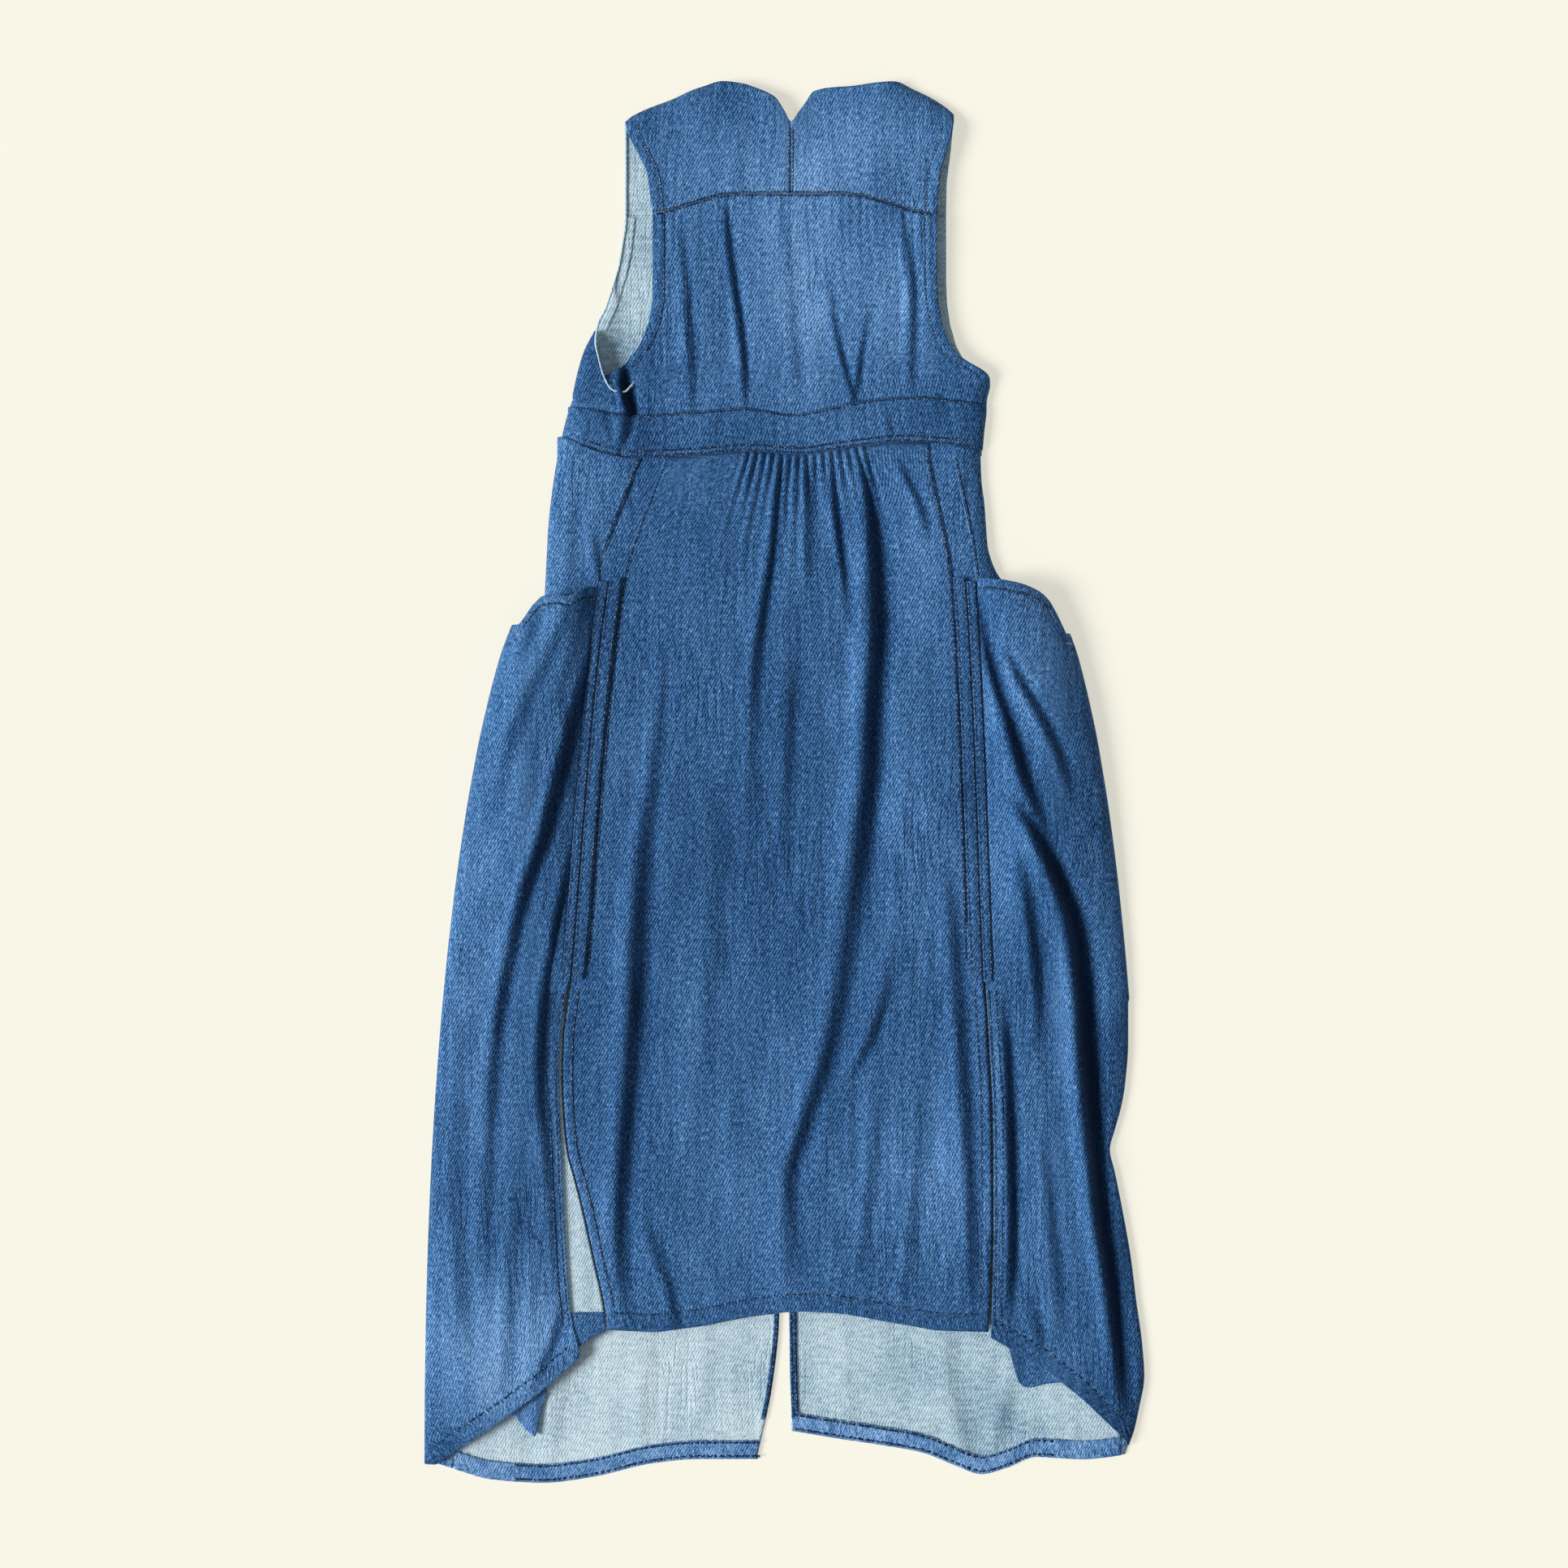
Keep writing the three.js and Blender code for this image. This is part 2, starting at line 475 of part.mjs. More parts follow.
  panel(named("back_facing"), DENIM_TRIM, {
    bottom: () => tailTop + 12, top: () => NECK_Y - NOTCH_DEPTH - 6,
    section: strip(shifted(side.centreBack, 1), shifted(side.centreBack, FACING), Z_BACK_FACING),
  });
}

// Wire hooks that close the back at the neck and at the band, lying across its two facings
for (const [name, y] of [["neck_hook", NOTCH_Y - 20], ["band_hook", BAND_TOP - BAND_HEIGHT / 2]]) {
  const wire = new THREE.CylinderGeometry(HOOK_WIRE / 2, HOOK_WIRE / 2, HOOK_LENGTH, 10);
  const hook = add(name, HOOK_METAL, wire);
  hook.rotation.z = Math.PI / 2;
  hook.position.set(0, y, Z_BACK_FACING + CLOTH / 2 + SEAM + HOOK_WIRE / 2);
}

// The origin is the middle of the garment's outline, on the surface it lies on
const bounds = new THREE.Box3().setFromObject(garment, true);
const middle = bounds.getCenter(new THREE.Vector3());
garment.position.set(-middle.x, -middle.y, -bounds.min.z);

export default garment;
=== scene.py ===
# %% [markdown]
# # A denim smock apron, laid flat
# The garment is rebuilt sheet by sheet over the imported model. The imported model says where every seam, edge and
# layer lies; this lesson gives each sheet its folds, its weave and its stitching. Lengths inside the lesson are in
# millimetres, and turn into metres only when a mesh is made.

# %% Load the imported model
import json
import math
import bpy
import numpy as np
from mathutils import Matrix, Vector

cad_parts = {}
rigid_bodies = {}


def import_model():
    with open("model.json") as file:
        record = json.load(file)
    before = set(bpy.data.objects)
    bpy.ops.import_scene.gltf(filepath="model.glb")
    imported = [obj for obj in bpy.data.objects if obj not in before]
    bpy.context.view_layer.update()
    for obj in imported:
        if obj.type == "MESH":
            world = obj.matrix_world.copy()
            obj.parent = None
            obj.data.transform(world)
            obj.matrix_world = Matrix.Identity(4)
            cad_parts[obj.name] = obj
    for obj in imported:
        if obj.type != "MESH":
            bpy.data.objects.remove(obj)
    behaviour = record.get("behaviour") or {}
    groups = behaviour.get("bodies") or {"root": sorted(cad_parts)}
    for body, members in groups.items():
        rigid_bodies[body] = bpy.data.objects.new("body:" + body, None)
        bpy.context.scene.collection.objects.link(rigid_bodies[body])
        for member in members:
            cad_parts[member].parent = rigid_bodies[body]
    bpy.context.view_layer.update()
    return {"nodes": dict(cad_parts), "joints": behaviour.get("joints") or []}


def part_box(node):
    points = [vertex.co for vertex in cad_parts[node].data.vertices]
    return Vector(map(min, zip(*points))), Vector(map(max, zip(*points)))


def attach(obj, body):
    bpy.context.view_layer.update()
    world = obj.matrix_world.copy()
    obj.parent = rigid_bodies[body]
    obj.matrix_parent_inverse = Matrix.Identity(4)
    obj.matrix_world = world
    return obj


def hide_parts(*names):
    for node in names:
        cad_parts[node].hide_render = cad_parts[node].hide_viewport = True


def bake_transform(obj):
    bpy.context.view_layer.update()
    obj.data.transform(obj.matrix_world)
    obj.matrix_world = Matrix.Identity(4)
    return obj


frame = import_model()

nodes = frame["nodes"]

# %% [markdown]
# ## Camera, light and floor
# The garment lies on a pale floor and is seen from straight above, so the camera looks straight down, far enough
# away that a long lens takes in the whole length. The light is one soft key from the left, low enough that every
# fold shows a bright and a dark flank, and an even fill from all round. A sun with a wide angle lights a large flat
# thing evenly, which an area light close by would not.

# %% Camera, light and floor
MM = 0.001
VIEW_HEIGHT = 3.436
scene = bpy.context.scene
scene.view_settings.view_transform = "Standard"
camera_data = bpy.data.cameras.new("camera")
camera_data.lens = 85
camera_data.sensor_width = 36
camera = bpy.data.objects.new("camera", camera_data)
camera.location = (-0.0004, -0.0007, VIEW_HEIGHT)
scene.collection.objects.link(camera)
scene.camera = camera

sun_data = bpy.data.lights.new("key_light", "SUN")
sun_data.energy = 4.3
sun_data.angle = math.radians(24)
sun_data.color = (1.0, 0.985, 0.955)
sun = bpy.data.objects.new("key_light", sun_data)
sun.rotation_euler = (math.radians(8), math.radians(-56), 0)
scene.collection.objects.link(sun)

world = bpy.data.worlds.new("studio")
world.use_nodes = True
world.node_tree.nodes["Background"].inputs["Color"].default_value = (0.93, 0.96, 1.0, 1)
world.node_tree.nodes["Background"].inputs["Strength"].default_value = 0.34
scene.world = world

floor_mesh = bpy.data.meshes.new("floor")
floor_mesh.from_pydata([(x, y, -0.0004) for x, y in ((-40, -40), (40, -40), (40, 40), (-40, 40))], [], [(0, 1, 2, 3)])
floor = bpy.data.objects.new("floor", floor_mesh)
scene.collection.objects.link(floor)
print("camera", tuple(camera.location))

# %% [markdown]
# ## Small tools for shapes
# A fold or an edge is drawn through a few points with a smooth curve that never overshoots them. Slow uneven
# waves come from a lattice of random heights joined smoothly. Both take whole arrays.

# %% Small tools for shapes
def mix(a, b, t):
    """Straight mix: a at t = 0, b at t = 1."""
    return a + (b - a) * t


def ease(t):
    """Smooth step: 3t^2 - 2t^3 of t held between 0 and 1."""
    t = np.clip(t, 0, 1)
    return t * t * (3 - 2 * t)


def curve(points):
    """Smooth curve of one or more values over the first number of each point: cubic between neighbours, with the
    harmonic mean of the two chord slopes at each point, or a level slope where the chords disagree."""
    p = np.array(points, float)
    p = p[np.argsort(p[:, 0])]
    t, v = p[:, 0], p[:, 1:]
    h = np.diff(t)
    chord = np.diff(v, axis=0) / h[:, None]
    slope = np.vstack([chord[:1], np.zeros_like(chord[1:]), chord[-1:]])
    agree = chord[:-1] * chord[1:] > 0
    total = np.where(agree, chord[:-1] + chord[1:], 1)
    slope[1:-1] = np.where(agree, 2 * chord[:-1] * chord[1:] / total, 0)

    def at(q):
        q = np.clip(q, t[0], t[-1])
        i = np.clip(np.searchsorted(t, q, side="right") - 1, 0, len(t) - 2)
        u = ((q - t[i]) / h[i])[..., None]
        step = h[i][..., None]
        start = v[i] * (1 + 2 * u) * (1 - u) ** 2 + slope[i] * step * u * (1 - u) ** 2
        end = v[i + 1] * u * u * (3 - 2 * u) + slope[i + 1] * step * u * u * (u - 1)
        out = start + end
        return out[..., 0] if v.shape[1] == 1 else np.moveaxis(out, -1, 0)

    return at


def ripple(x, y, width, length, seed):
    """Uneven waves from -1 to 1: random heights on a lattice of width by length, joined with smooth steps."""
    table = np.random.default_rng(seed).uniform(-1, 1, (64, 64))
    a, b = np.asarray(x) / width + 400.0, np.asarray(y) / length + 400.0
    i, j = np.floor(a).astype(int), np.floor(b).astype(int)
    u, v = ease(a - i), ease(b - j)
    low = mix(table[i % 64, j % 64], table[(i + 1) % 64, j % 64], u)
    high = mix(table[i % 64, (j + 1) % 64], table[(i + 1) % 64, (j + 1) % 64], u)
    return mix(low, high, v)


print("half way up a smooth step:", ease(np.array(0.5)))

# %% [markdown]
# ## Reading seams and edges from the model
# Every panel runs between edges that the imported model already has. A level cut across a node gives its left and
# right edge at that height, and an upright cut gives its hem and its top. A dozen or two cuts, joined smoothly,
# make each edge a function that the finished cloth follows exactly.

# %% Reading seams and edges
def triangles(names):
    """All triangles of some nodes, in millimetres, as an array of (triangle, corner, coordinate)."""
    parts = []
    for name in names:
        mesh = nodes[name].data
        mesh.calc_loop_triangles()
        co = np.empty(len(mesh.vertices) * 3)
        mesh.vertices.foreach_get("co", co)
        index = np.empty(len(mesh.loop_triangles) * 3, np.int32)
        mesh.loop_triangles.foreach_get("vertices", index)
        parts.append(co.reshape(-1, 3)[index].reshape(-1, 3, 3) / MM)
    return np.concatenate(parts)


def cuts(names, axis, places):
    """Lowest and highest reach along the other axis where planes at these places cut the nodes' triangles."""
    tri = triangles(names)
    a, b = tri.reshape(-1, 3), np.roll(tri, -1, axis=1).reshape(-1, 3)
    rise = b[:, axis] - a[:, axis]
    t = (places[None] - a[:, axis, None]) / np.where(np.abs(rise) < 1e-9, np.nan, rise)[:, None]
    other = a[:, 1 - axis, None] + t * (b - a)[:, 1 - axis, None]
    other = np.where((t >= 0) & (t <= 1), other, np.nan)
    return np.nanmin(other, 0), np.nanmax(other, 0)


def side_edge(names, s, low=None, high=None, count=16):
    """How far the nodes reach from the middle line towards side s (-1 left, 1 right), as a function of y."""
    corners = [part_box(name) for name in names]
    low = min(c[0].y for c in corners) / MM + 0.4 if low is None else low
    high = max(c[1].y for c in corners) / MM - 0.4 if high is None else high
    y = np.linspace(low, high, count)
    left, right = cuts(names, 1, y)
    return curve(np.column_stack([y, -left if s < 0 else right]))


def inner_edge(names, s, low=None, high=None, count=16):
    """The same for the edge that is nearer to the middle line."""
    corners = [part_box(name) for name in names]
    low = min(c[0].y for c in corners) / MM + 0.4 if low is None else low
    high = max(c[1].y for c in corners) / MM - 0.4 if high is None else high
    y = np.linspace(low, high, count)
    left, right = cuts(names, 1, y)
    return curve(np.column_stack([y, -right if s < 0 else left]))


def rim(names, which, reach=None, count=24):
    """The lower (which = 0) or upper (which = 1) rim of the nodes, as a function of x. reach is how far along x it
    goes, where the nodes' sides slant out past it."""
    corners = [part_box(name) for name in names]
    whole = min(c[0].x for c in corners) / MM + 0.3, max(c[1].x for c in corners) / MM - 0.3
    x = np.linspace(*(sorted(reach) if reach else whole), count)
    return curve(np.column_stack([x, cuts(names, 0, x)[which]]))


def level(value):
    """An edge at one height or distance all along."""
    return lambda q: np.full(np.shape(q), float(value))


def middle_height(name):
    """Height of the middle of a flat node."""
    low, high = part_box(name)
    return (low.z + high.z) / 2 / MM


SIDES = (("left", -1), ("right", 1))
FRONT_Z = middle_height("front_flap")
UNDER_Z = middle_height("front_flap_hem")
LAYER = FRONT_Z - UNDER_Z
BAND_Z = middle_height("slit_band_left")
BACK_Z = middle_height("back_yoke_left")
EDGE_Z = BACK_Z + LAYER
NECK_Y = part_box("front_yoke_left")[1].y / MM
YOKE_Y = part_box("front_bodice")[1].y / MM
BAND_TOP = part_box("front_band")[1].y / MM
BAND_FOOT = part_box("front_band")[0].y / MM
MOUTH_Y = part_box("pocket_mouth_hem_left")[1].y / MM
SLIT_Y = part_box("front_skirt")[0].y / MM
HEM_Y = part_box("front_flap")[0].y / MM
BACK_HEM_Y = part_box("back_skirt_left")[0].y / MM
print("layers", round(BACK_Z, 2), round(EDGE_Z, 2), round(UNDER_Z, 2), round(FRONT_Z, 2), round(BAND_Z, 2))
print("heights", [round(v) for v in (NECK_Y, YOKE_Y, BAND_TOP, BAND_FOOT, MOUTH_Y, SLIT_Y, HEM_Y, BACK_HEM_Y)])

# %% [markdown]
# ## Denim and its finishes
# The cloth is a washed twill: dark warp threads run up the garment, pale weft threads cross them, and the two make
# fine slanting ribs. Seen close it is a heather of dark and pale flecks, longer along the warp, with slow streaks
# where the yarn is thick or thin and clouds where the wash took more. Fine crease lines are pressed in by the bump
# and darkened in colour as painted shade. The wrong side shows mostly the pale weft. One node tree makes all of it
# from the piece's own UV map, which holds the flat cloth in metres. Two attributes on the mesh steer it: one says
# which face is the wrong side, and the other says how washed out each place is, with painted light and shade added
# into it: darker lines along the folds, and the garment's light and dark patches.

# %% Denim and its finishes
class Tree:
    """A material's node tree, with one call for each node."""

    def __init__(self, name):
        self.material = bpy.data.materials.new(name)
        self.material.use_nodes = True
        self.tree = self.material.node_tree
        self.shader = self.tree.nodes["Principled BSDF"]

    def node(self, kind, inputs=(), **settings):
        made = self.tree.nodes.new("ShaderNode" + kind)
        for key, value in settings.items():
            setattr(made, key, value)
        for key, value in dict(inputs).items():
            if isinstance(value, bpy.types.NodeSocket):
                self.tree.links.new(value, made.inputs[key])
            else:
                made.inputs[key].default_value = value
        return made

    def math(self, operation, a, b=0.0, c=0.0):
        return self.node("Math", {0: a, 1: b, 2: c}, operation=operation).outputs[0]

    def noise(self, where, scale, detail=2.0, rough=0.55):
        """Noise with its own size along each direction: scale is flecks per metre in x, y, z."""
        placed = self.node("Mapping", {"Vector": where, "Scale": scale}).outputs[0]
        noise = self.node("TexNoise", {"Vector": placed, "Scale": 1.0, "Detail": detail, "Roughness": rough})
        return noise.outputs[0]

    def ramp(self, value, stops):
        made = self.node("ValToRGB", {0: value})
        elements = made.color_ramp.elements
        for place, _ in stops[1:-1]:
            elements.new(place)
        for element, (place, colour) in zip(elements, stops):
            element.position = place
            element.color = (*colour, 1)
        return made.outputs[0]

    def surface(self, colour, roughness, height, depth, sheen=0.0):
        """Colour, roughness and bump go to the shader; depth is the relief in metres."""
        bump = self.node("Bump", {"Height": height, "Strength": 0.9, "Distance": depth})
        self.tree.links.new(colour, self.shader.inputs["Base Color"])
        self.tree.links.new(roughness, self.shader.inputs["Roughness"])
        self.tree.links.new(bump.outputs[0], self.shader.inputs["Normal"])
        self.shader.inputs["Specular IOR Level"].default_value = 0.12
        self.shader.inputs["Sheen Weight"].default_value = sheen
        self.shader.inputs["Sheen Roughness"].default_value = 0.5
        self.shader.inputs["Sheen Tint"].default_value = (0.55, 0.72, 0.95, 1)
        return self.material


RIGHT_SIDE = [(0.12, (0.003, 0.015, 0.050)), (0.28, (0.010, 0.046, 0.130)), (0.42, (0.021, 0.082, 0.212)),
              (0.55, (0.050, 0.148, 0.335)), (0.72, (0.112, 0.256, 0.515)), (0.95, (0.290, 0.470, 0.740))]
WRONG_SIDE = [(0.10, (0.060, 0.140, 0.240)), (0.38, (0.240, 0.375, 0.480)), (0.6, (0.450, 0.595, 0.680)),
              (0.95, (0.720, 0.815, 0.860))]


def denim(name, tone=0.0):
    """Twill in both its faces. tone shifts the whole finish: below 0 darker, above 0 more washed out."""
    t = Tree(name)
    cloth = t.node("UVMap", uv_map="cloth").outputs[0]
    wrong = t.node("Attribute", attribute_name="wrong").outputs["Fac"]
    # second attribute: the cloth's fading, with painted light and shade added into it
    fade = t.node("Attribute", attribute_name="fade").outputs["Fac"]
    warp = t.noise(cloth, (560, 230, 1), 3.0, 0.7)
    weft = t.noise(cloth, (240, 480, 1), 3.0, 0.7)
    slub = t.noise(cloth, (230, 22, 1), 3.0)
    bar = t.noise(cloth, (80, 270, 1), 3.0, 0.6)
    cloud = t.noise(cloth, (14, 7, 1), 4.0)
    crease = t.noise(cloth, (120, 13, 1), 1.0)
    zone = t.noise(cloth, (11, 6, 1), 1.0)
    off_crease = t.math("ABSOLUTE", t.math("SUBTRACT", crease, 0.5))
    line = t.math("SUBTRACT", 1.0, t.math("MINIMUM", t.math("MULTIPLY", off_crease, 18), 1))
    line = t.math("MULTIPLY", line, t.math("MAXIMUM", t.math("MULTIPLY_ADD", zone, 3.4, -1.45), 0.0))
    slant = t.node("Mapping", {"Vector": cloth, "Rotation": (0, 0, math.radians(28))}).outputs[0]
    rib = t.node("TexWave", {"Vector": slant, "Scale": 126.0, "Distortion": 1.4, "Detail": 1.5,
                             "Detail Scale": 2.0}, wave_type="BANDS", bands_direction="X").outputs[1]
    fleck = t.math("MULTIPLY_ADD", warp, 1.20, t.math("MULTIPLY", weft, 0.65))
    streak = t.math("MULTIPLY_ADD", slub, 0.30, t.math("MULTIPLY", cloud, 0.26))
    face = t.math("MULTIPLY_ADD", rib, 0.26, t.math("ADD", fleck, streak))
    # painted shade: darker colour along the fine crease lines that the bump presses in
    face = t.math("MULTIPLY_ADD", line, -0.13, face)
    face = t.math("ADD", face, t.math("MULTIPLY_ADD", fade, 0.34, tone - 0.88))
    back = t.math("MULTIPLY_ADD", bar, 0.62, t.math("MULTIPLY", fleck, 0.50))
    back = t.math("MULTIPLY_ADD", rib, 0.26, t.math("MULTIPLY_ADD", cloud, 0.30, back))
    back = t.math("ADD", back, t.math("MULTIPLY_ADD", fade, 0.30, -0.56))
    right_colour = t.ramp(face, RIGHT_SIDE)
    wrong_colour = t.ramp(back, WRONG_SIDE)
    colour = t.node("Mix", {0: wrong, 6: right_colour, 7: wrong_colour}, data_type="RGBA").outputs[2]
    roughness = t.math("MULTIPLY_ADD", fleck, 0.16, 0.78)
    relief = t.math("MULTIPLY_ADD", rib, 0.35, t.math("MULTIPLY_ADD", slub, 0.8, fleck))
    relief = t.math("MULTIPLY_ADD", line, -1.0, relief)
    return t.surface(colour, roughness, relief, 0.0007, sheen=0.06)


DENIM = denim("denim")
TRIM = denim("denim_trim", tone=-0.05)


def thread(name, dark, pale):
    """Sewing thread: mostly the cloth's own navy, with a painted highlight, a pale glint, here and there along the row.
    """
    t = Tree(name)
    place = t.node("TexCoord").outputs["Object"]
    painted_highlight = t.noise(place, (330, 330, 330), 1.0)
    twist = t.noise(place, (2600, 2600, 2600), 1.0)
    # painted highlight: pale glints put into the thread's colour
    colour = t.ramp(t.math("MULTIPLY_ADD", twist, 0.25, painted_highlight), [(0.45, dark), (0.62, dark), (0.74, pale)])
    return t.surface(colour, t.math("MULTIPLY_ADD", twist, 0.2, 0.55), twist, 0.0001)


THREAD = thread("thread", (0.018, 0.060, 0.150), (0.260, 0.410, 0.580))
SEAM_THREAD = thread("seam_thread", (0.090, 0.190, 0.350), (0.420, 0.560, 0.700))
# painted shade: a near-black ribbon stands for the shade in each stitch groove
PAINTED_GROOVE_SHADE = thread("painted_groove_shade", (0.004, 0.015, 0.048), (0.012, 0.040, 0.100))


def enamelled_wire():
    """Dark enamel over wire: near black, glossy, worn a little brighter in spots."""
    t = Tree("hook_wire")
    place = t.node("TexCoord").outputs["Object"]
    wear = t.noise(place, (900, 900, 900), 3.0)
    colour = t.ramp(wear, [(0.35, (0.02, 0.021, 0.025)), (0.6, (0.05, 0.052, 0.06)), (0.8, (0.22, 0.22, 0.23))])
    t.shader.inputs["Metallic"].default_value = 0.85
    return t.surface(colour, t.math("MULTIPLY_ADD", wear, 0.3, 0.25), wear, 0.00005)


WIRE = enamelled_wire()


def plain_floor():
    """Pale warm paper, almost even, lit a little from behind like a light table, so that shadows on it stay faint."""
    t = Tree("floor")
    place = t.node("TexCoord").outputs["Object"]
    grain = t.noise(place, (3, 3, 3), 2.0)
    colour = t.ramp(grain, [(0.3, (0.336, 0.326, 0.286)), (0.7, (0.344, 0.334, 0.294))])
    t.shader.inputs["Emission Color"].default_value = (0.579, 0.565, 0.492, 1)
    t.shader.inputs["Emission Strength"].default_value = 1.0
    return t.surface(colour, t.math("MULTIPLY_ADD", grain, 0.02, 0.9), grain, 0.00001)


floor.data.materials.append(plain_floor())
print("materials", [m.name for m in bpy.data.materials])

# %% [markdown]
# ## A sheet of cloth
# A sheet is a surface over a grid: its place between two side edges and between its hem and its top gives x and y,
# and a height function gives z, folds and all. The grid is closer near the edges, where cloth turns down. The
# surface is then given the cloth's thickness on both sides of it, and a rim all round, so every sheet is closed.
# The UV map keeps the length along the cloth, so the weave doesn't stretch over a fold.

# %% A sheet of cloth
CLOTH = 0.8
PIECES = {}
SHEETS = {}


def grid(left, right, bottom, top, height, step=3.2, crowd=0.3):
    """x, y, z on a grid. Each point settles where its x, from its share between left(y) and right(y), and its y,
    from its share between bottom(x) and top(x), agree."""
    y = np.linspace(0, 1, 9)
    tall = np.max(top(np.zeros(1)) - bottom(np.zeros(1)))
    base = np.min(bottom(np.zeros(1)))
    wide = np.max(right(base + y * tall) - left(base + y * tall))
    spaced = lambda n: mix(np.linspace(0, 1, n), (1 - np.cos(np.linspace(0, np.pi, n))) / 2, crowd)
    s, v = np.meshgrid(spaced(max(4, int(wide / step) + 2)), spaced(max(4, int(tall / step) + 2)))
    y = mix(base, base + tall, v)
    x = mix(left(y), right(y), s)
    for _ in range(28):
        y = mix(bottom(x), top(x), v)
        x = mix(left(y), right(y), s)
    return x, y, height(x, y)


def shell(name, x, y, z, wrong_up=False, fade=None, material=None, thickness=CLOTH, anchor=0.5):
    """A closed sheet: the surface is moved half the thickness along its normal to both sides, and a rim joins the
    two. Its normal is the cross product of the steps along the row and along the column."""
    p = np.stack([x, y, z], -1)
    along, up = np.gradient(p, axis=1), np.gradient(p, axis=0)
    n = np.cross(along, up)
    n /= np.maximum(np.linalg.norm(n, axis=-1, keepdims=True), 1e-9)
    rows, cols = x.shape
    both = np.concatenate([(p + n * thickness / 2).reshape(-1, 3), (p - n * thickness / 2).reshape(-1, 3)]) * MM
    index = np.arange(rows * cols).reshape(rows, cols)
    a, b, c, d = index[:-1, :-1], index[:-1, 1:], index[1:, 1:], index[1:, :-1]
    faces = [np.stack([a, b, c, d], -1).reshape(-1, 4), np.stack([a, d, c, b], -1).reshape(-1, 4) + rows * cols]
    ring = np.concatenate([index[0, :-1], index[:-1, -1], index[-1, :0:-1], index[:0:-1, 0]])
    after, under = np.roll(ring, -1), rows * cols
    faces.append(np.stack([ring, ring + under, after + under, after], -1))
    faces = np.concatenate(faces)
    mesh = bpy.data.meshes.new(name)
    mesh.vertices.add(len(both))
    mesh.vertices.foreach_set("co", both.ravel())
    mesh.loops.add(faces.size)
    mesh.loops.foreach_set("vertex_index", faces.ravel())
    mesh.polygons.add(len(faces))
    mesh.polygons.foreach_set("loop_start", np.arange(len(faces)) * 4)
    mesh.polygons.foreach_set("loop_total", np.full(len(faces), 4))
    mesh.update(calc_edges=True)
    mesh.polygons.foreach_set("use_smooth", np.ones(len(faces), bool))
    length = np.linalg.norm(np.diff(p, axis=1), axis=-1)
    u = np.concatenate([np.zeros((rows, 1)), np.cumsum(length, axis=1)], axis=1)
    u += x[:, :1] + (x[:, -1:] - x[:, :1] - u[:, -1:]) * anchor
    uv = np.tile(np.stack([u, y], -1).reshape(-1, 2), (2, 1)) * MM
    mesh.uv_layers.new(name="cloth").data.foreach_set("uv", uv[faces.ravel()].astype(np.float32).ravel())
    wrong = np.repeat([1.0, 0.0] if wrong_up else [0.0, 1.0], rows * cols)
    tone = np.zeros((rows, cols)) if fade is None else fade
    for key, values in (("wrong", wrong), ("fade", np.tile(tone.ravel(), 2))):
        mesh.attributes.new(key, "FLOAT", "POINT").data.foreach_set("value", values.astype(np.float32))
    mesh.materials.append(material or DENIM)
    piece = bpy.data.objects.new(name, mesh)
    scene.collection.objects.link(piece)
    rising, falling = p[1:, 1:] - p[:-1, :-1], p[1:, :-1] - p[:-1, 1:]
    area = np.linalg.norm(np.cross(rising, falling), axis=-1).sum() / 2 * MM * MM
    wide, tall = u[:, -1] - u[:, 0], np.linalg.norm(np.diff(p, axis=0), axis=-1).sum(0)
    PIECES[name] = {"area": float(area), "width": float(wide.max() * MM), "length": float(tall.max() * MM)}
    return piece


def bend_of(joint_name, reach=52.0):
    """Where cloth turns over a fold line: from the line, straight across it, towards the part that lifts."""
    joint = next(j for j in frame["joints"] if j["name"] == joint_name)
    start, axis = np.array(joint["pos_m"]), np.array(joint["axis"], float)
    across = np.cross(axis, (0.0, 0.0, 1.0))
    low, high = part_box(joint["child"])
    centre = (np.array(low) + np.array(high)) / 2
    across *= np.sign(np.dot(centre - start, across)) / np.linalg.norm(across)
    return joint["parent"], joint["child"], tuple(start), tuple(start + across * reach * MM)


BENDS = {"front_flap": bend_of("front_flap_lift", 60)}
for side, _ in SIDES:
    BENDS[f"drape_corner_{side}"] = bend_of(f"drape_corner_{side}_lift")
    BENDS[f"back_tail_{side}"] = bend_of(f"back_tail_{side}_lift")


def put(piece, body, stands_for=(), held=None, rests_on=(), extras=()):
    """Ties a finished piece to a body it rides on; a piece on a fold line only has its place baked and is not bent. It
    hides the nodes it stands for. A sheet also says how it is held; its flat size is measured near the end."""
    if body in BENDS:
        parent, child, start, end = BENDS[body]
        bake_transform(piece)
        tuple(start)
        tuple(end)
    else:
        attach(piece, body)
    if stands_for:
        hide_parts(*stands_for)
    if held:
        SHEETS[piece.name] = {"piece": piece, "held": held, "rests_on": list(rests_on), "on_it": list(extras)}
    return piece


print("fold lines", {k: [round(c, 3) for c in v[2]] for k, v in BENDS.items()})

# %% [markdown]
# ## Folds
# A soft fold in cloth that lies on a table is a low wave with one gentle flank and one steep one. Each is drawn as
# a path down the garment with a height and a half-width at every point: across the path the cloth rises on its left
# and drops on its right, by the slope of a bell curve. Each fold also paints shade into the colour: a darker line
# over its steep flank, where shade falls, goes into the attribute that holds the cloth's fading.

# %% Folds
STEEP = 1.35


